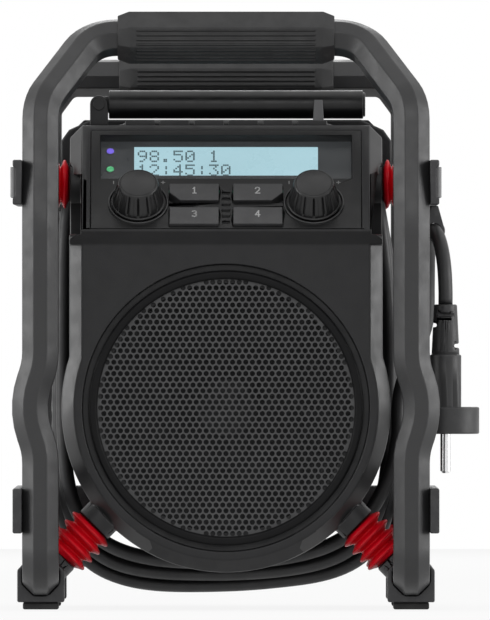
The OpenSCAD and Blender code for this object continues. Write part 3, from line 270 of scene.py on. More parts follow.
def material(name, color, rough=0.5, vary=0.12, grain=0.0, grain_scale=2500.0, rough_vary=0.08,
             wear=0.0, wear_color=(0.25, 0.25, 0.25), dust=0.0, metallic=0.0, specular=0.5,
             alpha=None, brushed=None):
    """A node material: colour and roughness vary in blotches, with grain, scuffs and dust."""
    mat = bpy.data.materials.new(name)
    mat.use_nodes = True
    nt = mat.node_tree
    nt.nodes.clear()
    out = nt.nodes.new("ShaderNodeOutputMaterial")
    bsdf = nt.nodes.new("ShaderNodeBsdfPrincipled")
    nt.links.new(bsdf.outputs[0], out.inputs[0])
    coord = nt.nodes.new("ShaderNodeTexCoord").outputs["Object"]

    def noise(scale, detail=4.0, roughness=0.55, stretch=None):
        n = nt.nodes.new("ShaderNodeTexNoise")
        n.inputs["Scale"].default_value = scale
        n.inputs["Detail"].default_value = detail
        n.inputs["Roughness"].default_value = roughness
        if stretch:
            m = nt.nodes.new("ShaderNodeMapping")
            m.inputs["Scale"].default_value = stretch
            nt.links.new(coord, m.inputs[0])
            nt.links.new(m.outputs[0], n.inputs["Vector"])
        else:
            nt.links.new(coord, n.inputs["Vector"])
        return n.outputs["Fac"]

    def ramp(fac, stops):
        r = nt.nodes.new("ShaderNodeValToRGB")
        el = r.color_ramp.elements
        el[0].position, el[0].color = stops[0][0], (*stops[0][1], 1)
        el[1].position, el[1].color = stops[-1][0], (*stops[-1][1], 1)
        for p, c in stops[1:-1]:
            e = el.new(p)
            e.color = (*c, 1)
        nt.links.new(fac, r.inputs[0])
        return r.outputs[0]

    def mix(fac, a, b):
        m = nt.nodes.new("ShaderNodeMix")
        m.data_type = "RGBA"
        for s, v in ((m.inputs[0], fac), (m.inputs[6], a), (m.inputs[7], b)):
            if hasattr(v, "is_output"):
                nt.links.new(v, s)
            elif isinstance(v, (int, float)):
                s.default_value = v
            else:
                s.default_value = (*v, 1)
        return m.outputs[2]

    low = tuple(c * (1 - vary) for c in color)
    high = tuple(min(1.0, c * (1 + vary)) for c in color)
    base = ramp(noise(BLOTCH), [(0.3, low), (0.7, high)])
    if brushed:
        streak = noise(STREAK, 2.0, 0.5, brushed)
        base = mix(ramp(streak, [(0.4, (0, 0, 0)), (0.6, (1, 1, 1))]), base, high)
    if dust:
        specks = ramp(noise(SPECK, 6.0, 0.7), [(0.6, (0, 0, 0)), (0.72, (dust,) * 3)])
        base = mix(specks, base, tuple(min(1.0, c * 1.8 + 0.02) for c in color))
    if wear:
        geo = nt.nodes.new("ShaderNodeNewGeometry")
        edge = ramp(geo.outputs["Pointiness"], [(0.52, (0, 0, 0)), (0.62, (1, 1, 1))])
        broken = ramp(noise(SCUFF, 5.0, 0.65), [(0.46, (0, 0, 0)), (0.6, (wear,) * 3)])
        m = nt.nodes.new("ShaderNodeMath")
        m.operation = "MULTIPLY"
        nt.links.new(edge, m.inputs[0])
        nt.links.new(broken, m.inputs[1])
        base = mix(m.outputs[0], base, wear_color)
    nt.links.new(base, bsdf.inputs["Base Color"])
    smoother, rougher = max(0.02, rough - rough_vary), min(1.0, rough + rough_vary)
    nt.links.new(ramp(noise(SHEEN, 5.0), [(0.3, (smoother,) * 3), (0.7, (rougher,) * 3)]),
                 bsdf.inputs["Roughness"])
    bsdf.inputs["Metallic"].default_value = metallic
    bsdf.inputs["Specular IOR Level"].default_value = specular
    if alpha is not None:
        bsdf.inputs["Alpha"].default_value = alpha
    if grain:
        bump = nt.nodes.new("ShaderNodeBump")
        bump.inputs["Strength"].default_value = grain
        bump.inputs["Distance"].default_value = GRAIN_DEPTH
        nt.links.new(noise(grain_scale, 3.0, 0.6), bump.inputs["Height"])
        nt.links.new(bump.outputs[0], bsdf.inputs["Normal"])
    return mat


LIT_UNDER, LIT_ROUGH, LIT_SCALE = (0.02, 0.02, 0.02), 0.3, 25


def glow(name, color, strength):
    """A lit material, a little uneven across its area."""
    mat = material(name, LIT_UNDER, LIT_ROUGH)
    nt = mat.node_tree
    bsdf = next(n for n in nt.nodes if n.type == "BSDF_PRINCIPLED")
    coord = next(n for n in nt.nodes if n.type == "TEX_COORD").outputs["Object"]
    uneven = nt.nodes.new("ShaderNodeTexNoise")
    uneven.inputs["Scale"].default_value = LIT_SCALE
    nt.links.new(coord, uneven.inputs["Vector"])
    shades = nt.nodes.new("ShaderNodeValToRGB")
    low, high = shades.color_ramp.elements
    low.position, low.color = 0.3, (*[c * 0.9 for c in color], 1)
    high.position, high.color = 0.7, (*color, 1)
    nt.links.new(uneven.outputs["Fac"], shades.inputs[0])
    nt.links.new(shades.outputs[0], bsdf.inputs["Emission Color"])
    bsdf.inputs["Emission Strength"].default_value = strength
    return mat


CAGE = material("cage_powder_coat", (0.024, 0.024, 0.025), 0.42, grain=0.25, grain_scale=1800,
                wear=0.5, wear_color=(0.12, 0.12, 0.12), dust=0.25)
GRIP = material("grip_rubber", (0.014, 0.014, 0.0145), 0.55, grain=0.3, grain_scale=2600, wear=0.3,
                wear_color=(0.09, 0.09, 0.09))
FRAME = material("frame_plastic", (0.024, 0.024, 0.026), 0.45, grain=0.3, grain_scale=2200,
                 wear=0.4, wear_color=(0.1, 0.1, 0.1))
# the caps' light grey is a painted highlight for the side light on them
CAP_PAINTED_HIGHLIGHT = material("cap_plastic", (0.20, 0.20, 0.203), 0.45, grain=0.25, wear=0.3)
PAD = material("pad_rubber", (0.02, 0.02, 0.02), 0.75, grain=0.5, grain_scale=1500, dust=0.4)
BOLT = material("bolt_steel", (0.12, 0.12, 0.125), 0.35, metallic=1.0, wear=0.4,
                wear_color=(0.5, 0.5, 0.5))
RED = material("red_rubber", (0.74, 0.001, 0.012), 0.42, vary=0.1, grain=0.12, grain_scale=1500,
               specular=0.25)
HOUSING = material("housing_plastic", (0.011, 0.011, 0.012), 0.48, grain=0.35, grain_scale=2600,
                   wear=0.35, wear_color=(0.06, 0.06, 0.06), specular=0.35)
# a lighter, shinier copy of the housing for its chamfers: a painted highlight for the side light
HOUSING_CHAMFER_HIGHLIGHT = material("housing_chamfer_painted_highlight", (0.030, 0.030, 0.031), 0.36, grain=0.12, wear=0.35,
                        wear_color=(0.09, 0.09, 0.09), specular=0.55)
PANEL = material("panel_plastic", (0.007, 0.007, 0.0075), 0.42, grain=0.3, grain_scale=2600,
                 wear=0.3, wear_color=(0.06, 0.06, 0.06), specular=0.35)
BUTTON = material("button_plastic", (0.044, 0.044, 0.046), 0.42, grain=0.2, wear=0.35,
                  wear_color=(0.12, 0.12, 0.12))
KNOB = material("knob_plastic", (0.012, 0.012, 0.0125), 0.34, grain=0.15, wear=0.35,
                wear_color=(0.09, 0.09, 0.09), specular=0.4)
WINDOW = material("clear_window", (0.3, 0.32, 0.33), 0.08, vary=0.03, alpha=0.04)
BEZEL = material("display_bezel", (0.075, 0.08, 0.085), 0.35, vary=0.06, grain=0.08)
LCD = glow("lcd", (0.50, 0.78, 0.87), 0.86)
INK = material("lcd_ink", (0.10, 0.16, 0.18), 0.6, vary=0.1)
LED_BLUE = glow("led_blue", (0.20, 0.13, 0.85), 0.95)
LED_GREEN = glow("led_green", (0.10, 0.62, 0.25), 0.75)
# a little lighter than the knob: a painted highlight on the collar rings
COLLAR_HIGHLIGHT = material("collar_painted_highlight", (0.020, 0.020, 0.021), 0.34, grain=0.12, wear=0.3,
                  wear_color=(0.1, 0.1, 0.1))
PRINT_DIM = material("grey_print", (0.34, 0.34, 0.34), 0.6, vary=0.1, grain=0.1)
PRINT = material("white_print", (0.62, 0.62, 0.62), 0.6, vary=0.08, grain=0.1)
GRILLE = material("grille_metal", (0.060, 0.060, 0.062), 0.42, metallic=0.15, grain=0.15, wear=0.2)
RING = material("ring_plastic", (0.004, 0.004, 0.0045), 0.45, grain=0.2, specular=0.15)
CONE = material("speaker_cone", (0.010, 0.010, 0.011), 0.7, grain=0.5, grain_scale=900)
STEEL = material("inner_steel", (0.25, 0.25, 0.25), 0.4, metallic=1.0, brushed=(1, 1, 20))
BOARD = material("circuit_board", (0.01, 0.09, 0.03), 0.4, vary=0.2, grain=0.2)
COPPER = material("wound_copper", (0.5, 0.25, 0.08), 0.35, metallic=1.0, brushed=(30, 1, 1))
JACKET = material("cell_jacket", (0.32, 0.22, 0.08), 0.3, metallic=0.6, vary=0.1, wear=0.2)
BLACK = material("inner_black", (0.014, 0.014, 0.015), 0.6, grain=0.3)
ANTENNA = material("antenna_plastic", (0.004, 0.004, 0.0045), 0.36, grain=0.15, specular=0.35)
CLIP = material("clip_plastic", (0.16, 0.16, 0.165), 0.5, grain=0.2)
CORD = material("cord_sheath", (0.015, 0.015, 0.016), 0.5, grain=0.25, grain_scale=1400, dust=0.15)
PLUG = material("plug_rubber", (0.020, 0.020, 0.021), 0.45, grain=0.25, wear=0.3)
CHROME = material("nickel_plate", (0.72, 0.72, 0.72), 0.18, metallic=1.0, rough_vary=0.05,
                  brushed=(1, 1, 15))

# ---------------------------------------------------------------- camera

PX = 0.485 * MM                                    # a pixel of the photo at the FRONT plane
PHOTO_W, PHOTO_H = 490, 620
ORIGIN_PX = (226, 609.5)                           # where the photo shows the frame's origin
SENSOR = 36.0
DIST = 10.0                                        # metres to the FRONT plane
FRONT = 0.07                                       # metres from the origin to that plane
cam_data = bpy.data.cameras.new("camera")
cam = link(bpy.data.objects.new("camera", cam_data))
cam_data.sensor_width = SENSOR
cam_data.lens = SENSOR * DIST / (PHOTO_H * PX)
cam_data.clip_start = 1.0
cam_data.clip_end = 100.0
cam.location = ((PHOTO_W / 2 - ORIGIN_PX[0]) * PX, -DIST - FRONT,
                (ORIGIN_PX[1] - PHOTO_H / 2) * PX)
cam.rotation_euler = (math.radians(90), 0, 0)
bpy.context.scene.camera = cam


# ---------------------------------------------------------------- cord

def catmull(points, steps):
    """A smooth line through the points, with so many steps from each to the next."""
    last = len(points) - 1
    out = []
    for i in range(last):
        near = points[max(i - 1, 0)], points[i], points[i + 1], points[min(i + 2, last)]
        for j in range(steps):
            t = j / steps
            out.append([(2 * b + (c - a) * t + (2 * a - 5 * b + 4 * c - d) * t * t
                         + (3 * b - a - 3 * c + d) * t ** 3) / 2 for a, b, c, d in zip(*near)])
    out.append(list(points[-1]))
    return out


def even(path, step):
    """The same line with points a step apart."""
    pts = [Vector(p) for p in path]
    out = [pts[0]]
    left = step
    for a, b in zip(pts, pts[1:]):
        d = (b - a).length
        while d >= left:
            a = a + (b - a) * (left / d)
            out.append(a)
            d = (b - a).length
            left = step
        left -= d
    if (out[-1] - pts[-1]).length <= 0.3 * step:
        out.pop()
    out.append(pts[-1])
    return out


def tube(name, pts, radius, sides=12):
    """A closed round tube along the points."""
    verts, faces = [], []
    ref = None
    for i, p in enumerate(pts):
        d = (pts[min(i + 1, len(pts) - 1)] - pts[max(i - 1, 0)]).normalized()
        if ref is None:
            ref = Vector((1, 0, 0)) if abs(d.x) < 0.8 else Vector((0, 1, 0))
        x = (ref - d * ref.dot(d)).normalized()
        ref = x
        y = d.cross(x)
        for k in range(sides):
            t = 2 * math.pi * k / sides
            verts.append(p + (x * math.cos(t) + y * math.sin(t)) * radius)
    for i in range(len(pts) - 1):
        for k in range(sides):
            a, b = i * sides + k, i * sides + (k + 1) % sides
            faces.append((a, b, b + sides, a + sides))
    faces.append(tuple(range(sides))[::-1])
    faces.append(tuple((len(pts) - 1) * sides + k for k in range(sides)))
    return mesh_object(name, verts, faces)


CORD_R = 3.5
CORD_STEP = 3.0                                    # between the points of its middle line
LANES = [22.0, 14.5, 7.0]                          # y of each turn
LEAD = [(-76, 38, 205), (-76, 38, 190), (-76, 38, 171), (-76, 38, 160), (-76.5, 36.5, 150),
        (-77.5, 33, 140), (-78, 29.5, 130), (-78, 26, 121), (-80, 23.6, 108), (-81.8, 22.3, 94)]
TAIL = [(71, 5.2, 47), (77, 2.4, 58), (81.5, 0.2, 70), (83.9, -0.6, 84), (84, -0.6, 94),
        (84.8, -0.6, 104), (87.3, -0.6, 113), (91.4, 0.3, 122), (95.4, 2, 131), (98, 3.2, 140),
        (98.5, 3.4, 149), (98.5, 3.4, 155), (98.6, 1.5, 165.4), (98.8, -4, 174.4),
        (99.5, -12.3, 180.8), (100.6, -22, 183.8), (101.5, -28.5, 183.8), (103.2, -38.3, 180.8),
        (104.9, -46.6, 174.4), (106.1, -52.1, 165.4), (106.6, -54, 155), (106.6, -54, 148)]
# The middle line of each turn as x, z: its left side from the top down, its lower run from left
# to right, and its right side from the bottom up
LEFT_SIDE = [
    [],
    [(-69.6, 219), (-74.8, 205), (-78, 190), (-80.2, 170), (-81.2, 145), (-81.6, 115), (-81.6, 90)],
    [(-69.6, 219), (-74.8, 205), (-77.8, 190), (-79, 170), (-79.4, 145), (-79.6, 115), (-79.6, 90)]]
LOWER_RUN = [
    [(-82.6, 64), (-80, 46), (-75, 31.5), (-67, 21.5), (-57, 16), (-46, 12.6), (-32, 10.8),
     (-12, 10.6), (10, 11.3), (30, 13.2), (47, 15.6), (63, 21.5), (73.5, 31.5), (78.6, 46),
     (81, 64)],
    [(-80, 64), (-77, 47.5), (-71.4, 34.6), (-62, 25.2), (-49.5, 19.6), (-32, 17), (-12, 16.3),
     (10, 16.6), (30, 18.4), (46, 21.4), (60, 27.2), (69.5, 36.8), (75.6, 50), (78.6, 66)],
    [(-78, 64), (-74.2, 48.8), (-67.6, 37.8), (-57.5, 30), (-45, 25.4), (-30, 22.9), (-13, 22),
     (4, 22.1), (20, 23), (36, 25.6), (50, 29.6), (62, 36.8)]]
RIGHT_SIDE = [
    [(82.3, 88), (82.3, 115), (82.3, 130), (81, 150), (78.6, 171), (75.3, 190), (72.8, 205)],
    [(80.1, 88), (80.1, 115), (80, 130), (79, 150), (77.4, 171), (75, 190), (72.8, 205)]]
TOP_RUN = [(68.6, 219), (60, 228.6), (47, 234.2), (30, 234.65), (0, 234.65), (-30, 234.65),
           (-47, 234.2), (-60, 228.6)]


def smoothstep(a, b, v):
    """Rises softly from 0 at a to 1 at b."""
    t = min(1.0, max(0.0, (v - a) / (b - a)))
    return t * t * (3 - 2 * t)


def winding():
    """The turns: down the left side, under the body, up the right side and over the top.

    The first starts at the lead's end, and the last ends under the body, where the tail starts."""
    path = []
    for k, lane in enumerate(LANES):
        path += [(x, lane, z) for x, z in LEFT_SIDE[k] + LOWER_RUN[k]]
        if k < len(RIGHT_SIDE):
            path += [(x, lane, z) for x, z in RIGHT_SIDE[k]]
            step = LANES[k + 1] - lane
            path += [(x, lane + step * (1 - smoothstep(-60, 60, x)), z) for x, z in TOP_RUN]
    return path


def relaxed(points, first, last, rounds=10):
    """The line eased a little, from its point first to its point last."""
    for _ in range(rounds):
        points = [p * 0.5 + (points[i - 1] + points[i + 1]) * 0.25 if first <= i <= last else p
                  for i, p in enumerate(points)]
    return points


gland = skin("cord_gland", 0.3, PLUG)
plug = skin("plug_body", 0.8, PLUG, 3)
pins = skin("plug_pins", 0.0, CHROME)
cord_path = even(catmull(LEAD + winding() + TAIL, 8), CORD_STEP)
# the tail stays as drawn from where it rises past z = 84
tail_from = max(i for i, p in enumerate(cord_path) if p.x > 80 and p.z < 84 and p.y < 1)
cord_path = relaxed(cord_path, 4, tail_from)
cord = tube("mains_cord", cord_path, CORD_R)
dress(cord, CORD)
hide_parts("cord_lead", "cord_winding", "cord_tail")
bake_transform(cord)

# ---------------------------------------------------------------- cage

for node in ("front_hoop", "rear_hoop"):
    skin(node, 0.6, CAGE, 3)
for node in ("front_grip", "rear_grip"):
    skin(node, 0.35, GRIP, 2, 28)
for node in ("upper_plate_left", "upper_plate_right", "lower_plate_left", "lower_plate_right"):
    skin(node, 0.8, FRAME)
# plate caps in light grey: a painted highlight
skin("plate_caps", 0.3, CAP_PAINTED_HIGHLIGHT)
skin("rear_crossbar", 1.2, FRAME)
for end in ("front_left", "front_right", "rear_left", "rear_right"):
    skin("foot_" + end, 0.8, FRAME)
skin("foot_pads", 0.8, PAD)
skin("frame_bolts", 0.3, BOLT)
skin("cord_clip", 0.4, FRAME)


# ---------------------------------------------------------------- rubber bellows

BELLOWS_OUT, BELLOWS_IN, BELLOWS_BORE = 11.8, 8.2, 2.6
LIP, LIP_STEP = 0.35, 0.6                          # chamfer at each end
# share of a ridge's length, and of its height over the grooves
RIDGE = ((0.05, 0.0), (0.20, 0.36), (0.36, 0.88), (0.43, 0.98), (0.5, 1.0), (0.57, 0.98),
         (0.64, 0.88), (0.80, 0.36), (0.95, 0.0))


def bellows(name, low, high, ridges, sides=56):
    """A ridged rubber sleeve between the cage, at low, and the radio, at high."""
    low, high = Vector(low), Vector(high)
    axis = (high - low).normalized()
    x = axis.orthogonal().normalized()
    y = axis.cross(x)
    length = (high - low).length
    profile = [(BELLOWS_BORE, 0.0), (BELLOWS_IN - LIP_STEP, 0.0), (BELLOWS_IN, LIP)]
    profile += [(BELLOWS_IN + (BELLOWS_OUT - BELLOWS_IN) * w, (i + t) * length / ridges)
                for i in range(ridges) for t, w in RIDGE]
    profile += [(BELLOWS_IN, length - LIP), (BELLOWS_IN - LIP_STEP, length),
                (BELLOWS_BORE, length)]
    verts, faces = [], []
    for r, h in profile:
        for k in range(sides):
            a = 2 * math.pi * k / sides
            verts.append(low + axis * h + (x * math.cos(a) + y * math.sin(a)) * r)
    n = len(profile)
    for i in range(n):
        for k in range(sides):
            a, b = i * sides + k, i * sides + (k + 1) % sides
            c, d = ((i + 1) % n) * sides + (k + 1) % sides, ((i + 1) % n) * sides + k
            faces.append((a, b, c, d))
    obj = mesh_object(name, verts, faces)
    dress(obj, RED)
    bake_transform(obj)
    return obj


SEAT_GAP = 0.2
# each lower mount's axis is the line |x| + z = MOUNT_LINE; its seats lie so far along it
MOUNT_LINE, FOOT_SEAT, BODY_SEAT = 104.9, -38.1, -16.4
TOP_Z, TOP_CAGE_X, TOP_BODY_X = 206.6, 89.8, 76.2


def on_mount_axis(s, y, t):
    """A point of a lower mount's axis; s is -1 on the left and 1 on the right."""
    return (s * (MOUNT_LINE / 2 - t * math.sin(math.radians(45))), y,
            MOUNT_LINE / 2 + t * math.cos(math.radians(45)))


lower, upper = [], []
for side, s in (("left", -1), ("right", 1)):
    for end, y in (("front", -62), ("rear", 62)):
        lower.append(bellows(f"bellows_low_{side}_{end}", on_mount_axis(s, y, FOOT_SEAT + SEAT_GAP),
                             on_mount_axis(s, y, BODY_SEAT - SEAT_GAP), 4))
    for end, y in (("front", -38), ("rear", 62)):
        upper.append(bellows(f"bellows_top_{side}_{end}", (s * TOP_CAGE_X, y, TOP_Z),
                             (s * TOP_BODY_X, y, TOP_Z), 3))
for group, node in ((lower, "lower_bellows"), (upper, "upper_bellows")):
    for piece in group:
        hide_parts(node)


# ---------------------------------------------------------------- radio body

# the front housing's chamfers get the painted highlight
skin("front_housing", 0.7, HOUSING, 3, 25, HOUSING_CHAMFER_HIGHLIGHT)
skin("rear_housing", 1.2, HOUSING, 3)
skin("rear_cover", 0.5, HOUSING, 3)
skin("battery_door", 0.5, HOUSING)
skin("door_screw", 0.25, BOLT)
skin("port_cover", 0.4, PAD)
skin("housing_seal", 0.0, PAD)
skin("housing_screws", 0.3, BOLT)
skin("control_panel", 0.3, PANEL)
skin("grille_ring", 0.3, RING)
skin("antenna_base", 0.4, ANTENNA)
skin("antenna_barrel", 0.5, ANTENNA)
skin("antenna_pin", 0.2, ANTENNA)
skin("antenna_clip", 0.25, CLIP)
for b in range(1, 5):
    skin(f"button_{b}", 0.5, BUTTON, 3)
for node, mat in (("lcd_module", LCD), ("display_board", BOARD), ("main_board", BOARD),
                  ("speaker_basket", BLACK), ("speaker_cone", CONE), ("speaker_magnet", BLACK),
                  ("transformer", COPPER), ("battery_tray", BLACK), ("battery_cells", JACKET),
                  ("shaft_left", STEEL), ("shaft_right", STEEL), ("display_window", WINDOW)):
    NODES[node].data.materials.clear()
    NODES[node].data.materials.append(mat)

# ---------------------------------------------------------------- control face

LIP_Y, LIP_Z = -80.0, 184.0
SLOPE = math.radians(45)
UP = Vector((0, -math.sin(SLOPE), math.cos(SLOPE)))   # away from the control face
DISPLAY_H = -4.6                                   # height of the display's face over the panel
KNOBS = (("left", -42.6), ("right", 42.6))
KNOB_S = (197 - LIP_Z) / math.sin(SLOPE)           # up the slope to the knobs' axes


def on_panel(x, s, h=0.0):
    """A point of the sloped control face: s up the slope from its lip, h over its surface."""
    return Vector((x, LIP_Y + s * math.cos(SLOPE) - h * math.sin(SLOPE),
                   LIP_Z + s * math.sin(SLOPE) + h * math.cos(SLOPE)))


def slope_at(z, h=0.0):
    """How far up the slope a point h over the face is seen at height z from the front."""
    return (z - LIP_Z) / math.sin(SLOPE) - h


def revolve(profile, steps, place, shape=None):
    """Points and faces of a profile of (radius, height) turned about its axis.

    place gives a point's position, and shape the radius at an angle."""
    verts, faces = [], []
    rings = []
    for r, h in profile:
        if r < 1e-6:
            rings.append([len(verts)] * steps)
            verts.append(place(0, 0, h))
            continue
        ring = []
        for k in range(steps):
            t = 2 * math.pi * k / steps
            q = shape(r, h, t) if shape else r
            ring.append(len(verts))
            verts.append(place(q * math.cos(t), q * math.sin(t), h))
        rings.append(ring)
    for lo, hi in zip(rings, rings[1:]):
        for k in range(steps):
            j = (k + 1) % steps
            quad = [lo[k], lo[j], hi[j], hi[k]]
            face = [v for i, v in enumerate(quad) if v not in quad[:i]]
            if len(face) > 2:
                faces.append(tuple(face))
    return verts, faces


def add(parts, verts, faces):
    """Adds points and faces to a pair of lists."""
    n = len(parts[0])
    parts[0].extend(verts)
    parts[1].extend(tuple(i + n for i in f) for f in faces)


def slab(parts, corners, up):
    """A thin plate from its corners, counterclockwise, and its thickness as a vector."""
    n = len(corners)
    lower = [Vector(c) for c in corners]
    add(parts, lower + [c + up for c in lower],
        [tuple(range(n))[::-1], tuple(range(n, 2 * n))]
        + [(i, (i + 1) % n, n + (i + 1) % n, n + i) for i in range(n)])


FLUTES, FLUTE_STEPS = 14, 14                       # grooves, and points from one to the next
FLUTE_LOW, FLUTE_HIGH = 1.6, 12.6                  # heights between which the skirt is fluted
GROOVE_DEPTH, GROOVE_SHARE, CROWN = 0.75, 0.07, 0.22
BORE_R = 3.05                                      # the shaft's bore, with no flutes
KNOB_GAP = 0.6                                     # from the panel to the knob's foot
KNOB_PROFILE = [
    (0, 9.5), (BORE_R, 9.5), (BORE_R, 0), (12.7, 0), (13, 0.3), (13, 0.9), (12.75, 1.2),
    (12.35, 1.3), (12.3, 1.6), (12.25, 2.1), (12.1, 2.8), (11.55, 5), (10.95, 7.5), (10.45, 9.5),
    (10.1, 11), (9.95, 11.7), (9.85, 12.3), (9.75, 12.65), (9.5, 13.05), (9.2, 13.3),
    (8.95, 13.3), (8.8, 13.1), (8.65, 13.1), (8.55, 13.3), (8.3, 13.38), (0, 13.4)]
COLLAR_PROFILE = [(13.65, 0.1), (14.55, 0.1), (14.75, 0.5), (14.6, 0.95), (14.2, 1.15),
                  (13.8, 1.0), (13.65, 0.1)]


def fluted(r, h, t):
    """The knob's radius at height h and angle t."""
    if not FLUTE_LOW < h < FLUTE_HIGH or r <= BORE_R:
        return r
    along = (t / (2 * math.pi) * FLUTES) % 1.0
    groove = math.exp(-((along - 0.5) / GROOVE_SHARE) ** 2)
    crown = CROWN * (1 - (2 * abs(along - 0.5) - 0.5) ** 2 * 4)
    fade = smoothstep(FLUTE_LOW, FLUTE_LOW + 1, h) * (1 - smoothstep(FLUTE_HIGH - 1, FLUTE_HIGH, h))
    return r + (crown - GROOVE_DEPTH * groove) * fade


for side, x in KNOBS:
    verts, faces = revolve(KNOB_PROFILE, FLUTES * FLUTE_STEPS,
                           lambda a, b, h: on_panel(x + a, KNOB_S + b, h + KNOB_GAP), fluted)
    piece = mesh_object("knob_" + side + "_fluted", verts, faces, BODY_OF["knob_" + side])
    piece.data.set_sharp_from_angle(angle=math.radians(50))
    dress(piece, KNOB)
    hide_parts("knob_" + side)

# ring around each knob's foot, a little lighter than the knob: its lighter tone is a painted
# highlight
for side, x in KNOBS:
    verts, faces = revolve(COLLAR_PROFILE, 96, lambda a, b, h: on_panel(x + a, KNOB_S + b, h))
    dress(mesh_object("collar_" + side, verts, faces, "radio"), COLLAR_HIGHLIGHT)

# the display's grey surround over the recess floor, with its opening


def outline(half, low, high):
    """Corners, as x and the way up the slope, of a rectangle across the panel's middle."""
    return [(-half, low), (half, low), (half, high), (-half, high)]


SURROUND_LOW, SURROUND_HIGH = DISPLAY_H + 0.05, DISPLAY_H + 0.45   # its back and its face
outer = outline(61.0, slope_at(209.4), slope_at(230.2))
inner = outline(44.7, slope_at(210.3, DISPLAY_H), slope_at(224.5, DISPLAY_H))
verts = []
for h in (SURROUND_LOW, SURROUND_HIGH):
    verts += [on_panel(x, s, h) for x, s in outer] + [on_panel(x, s, h) for x, s in inner]
faces = []
for i in range(4):
    j = (i + 1) % 4
    faces += [(i, 4 + i, 4 + j, j), (8 + i, 8 + j, 12 + j, 12 + i), (i, j, 8 + j, 8 + i),
              (4 + i, 12 + i, 12 + j, 4 + j)]
surround = mesh_object("display_surround", verts, faces, "radio", smooth=False)
dress(surround, BEZEL)

# dots of the display, five by seven to a figure
FIGURES = {
    "0": (14, 17, 19, 21, 25, 17, 14), "1": (4, 12, 4, 4, 4, 4, 14), "2": (14, 17, 1, 2, 4, 8, 31),
    "3": (31, 2, 4, 2, 1, 17, 14), "4": (2, 6, 10, 18, 31, 2, 2), "5": (31, 16, 30, 1, 1, 17, 14),
    "8": (14, 17, 17, 14, 17, 17, 14), "9": (14, 17, 17, 15, 1, 2, 12),
    ":": (0, 4, 4, 0, 4, 4, 0), ".": (0, 0, 0, 0, 0, 12, 12)}
COLUMNS, ROWS = 5, 7
TEXT_X, FIGURE_PITCH, DOT_PITCH, DOT_GAP = -43.0, 5.8, 0.94, 0.14
DOT_OVER, DOT_THICK = 0.02, 0.06                   # over the display's face
dots = ([], [])
for text, low, high in (("98.50 1", 217.2, 222.9), ("12:45:30", 210.4, 216.1)):
    row_pitch = (high - low) / math.sin(SLOPE) / ROWS
    w, d = DOT_PITCH - DOT_GAP, row_pitch - DOT_GAP
    for c, mark in enumerate(text):
        for row, bits in enumerate(FIGURES.get(mark, ())):
            for col in range(COLUMNS):
                if bits >> (COLUMNS - 1 - col) & 1:
                    x = TEXT_X + c * FIGURE_PITCH + col * DOT_PITCH
                    s = slope_at(high, DISPLAY_H) - (row + 1) * row_pitch
                    slab(dots, [on_panel(x + u, s + v, DISPLAY_H + DOT_OVER)
                                for u, v in ((0, 0), (w, 0), (w, d), (0, d))], UP * DOT_THICK)
figures = mesh_object("display_figures", *dots, body="radio", smooth=False)
dress(figures, INK)

# indicator lamps: a lens in a rim, on the surround
LENS = [(0, 0), (1.75, 0), (1.75, 0.5), (1.6, 0.66), (1.2, 0.82), (0.7, 0.92), (0, 0.96)]
LENS_RIM = [(1.8, 0), (2.35, 0), (2.35, 0.3), (2.2, 0.42), (1.95, 0.42), (1.8, 0.3), (1.8, 0)]
INDICATOR_X, INDICATOR_H = -56.3, DISPLAY_H + 0.4
for name, z, mat in (("indicator_upper", 222.4, LED_BLUE), ("indicator_lower", 213.6, LED_GREEN)):
    s = slope_at(z, DISPLAY_H + 0.5)

    def on_lamp(a, b, h):
        """A point about the lamp's axis, h over its foot."""
        return on_panel(INDICATOR_X + a, s + b, INDICATOR_H + h)

    piece = mesh_object(name, *revolve(LENS, 32, on_lamp), "radio")
    dress(piece, mat)
    dress(mesh_object(name + "_rim", *revolve(LENS_RIM, 32, on_lamp), "radio"), BEZEL)
    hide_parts("led_lenses")

# printed figures on the buttons, and plain marks by the knobs
STROKES = {
    "1": [[(0.25, 0.78), (0.5, 1.0), (0.5, 0.0)], [(0.2, 0.0), (0.8, 0.0)]],
    "2": [[(0.08, 0.8), (0.25, 0.97), (0.5, 1.0), (0.78, 0.95), (0.92, 0.74), (0.78, 0.5),
           (0.08, 0.0), (0.95, 0.0)]],
    "3": [[(0.08, 0.9), (0.5, 1.0), (0.85, 0.88), (0.85, 0.62), (0.45, 0.52), (0.88, 0.4),
           (0.88, 0.12), (0.5, 0.0), (0.08, 0.1)]],
    "4": [[(0.72, 0.0), (0.72, 1.0), (0.05, 0.3), (0.98, 0.3)]]}
INK_THICK = 0.03


def print_strokes(parts, strokes, x, s, h, size, width):
    """Flat strokes of paint; size is the mark's width and height."""
    for line in strokes:
        for (x0, s0), (x1, s1) in zip(line, line[1:]):
            p = Vector((x + (x0 - 0.5) * size[0], s + (s0 - 0.5) * size[1], 0))
            q = Vector((x + (x1 - 0.5) * size[0], s + (s1 - 0.5) * size[1], 0))
            d = (q - p).normalized() * width / 2
            n = Vector((-d.y, d.x, 0))
            ring = [p - d - n, q + d - n, q + d + n, p - d + n]
            slab(parts, [on_panel(v.x, v.y, h) for v in ring], UP * INK_THICK)


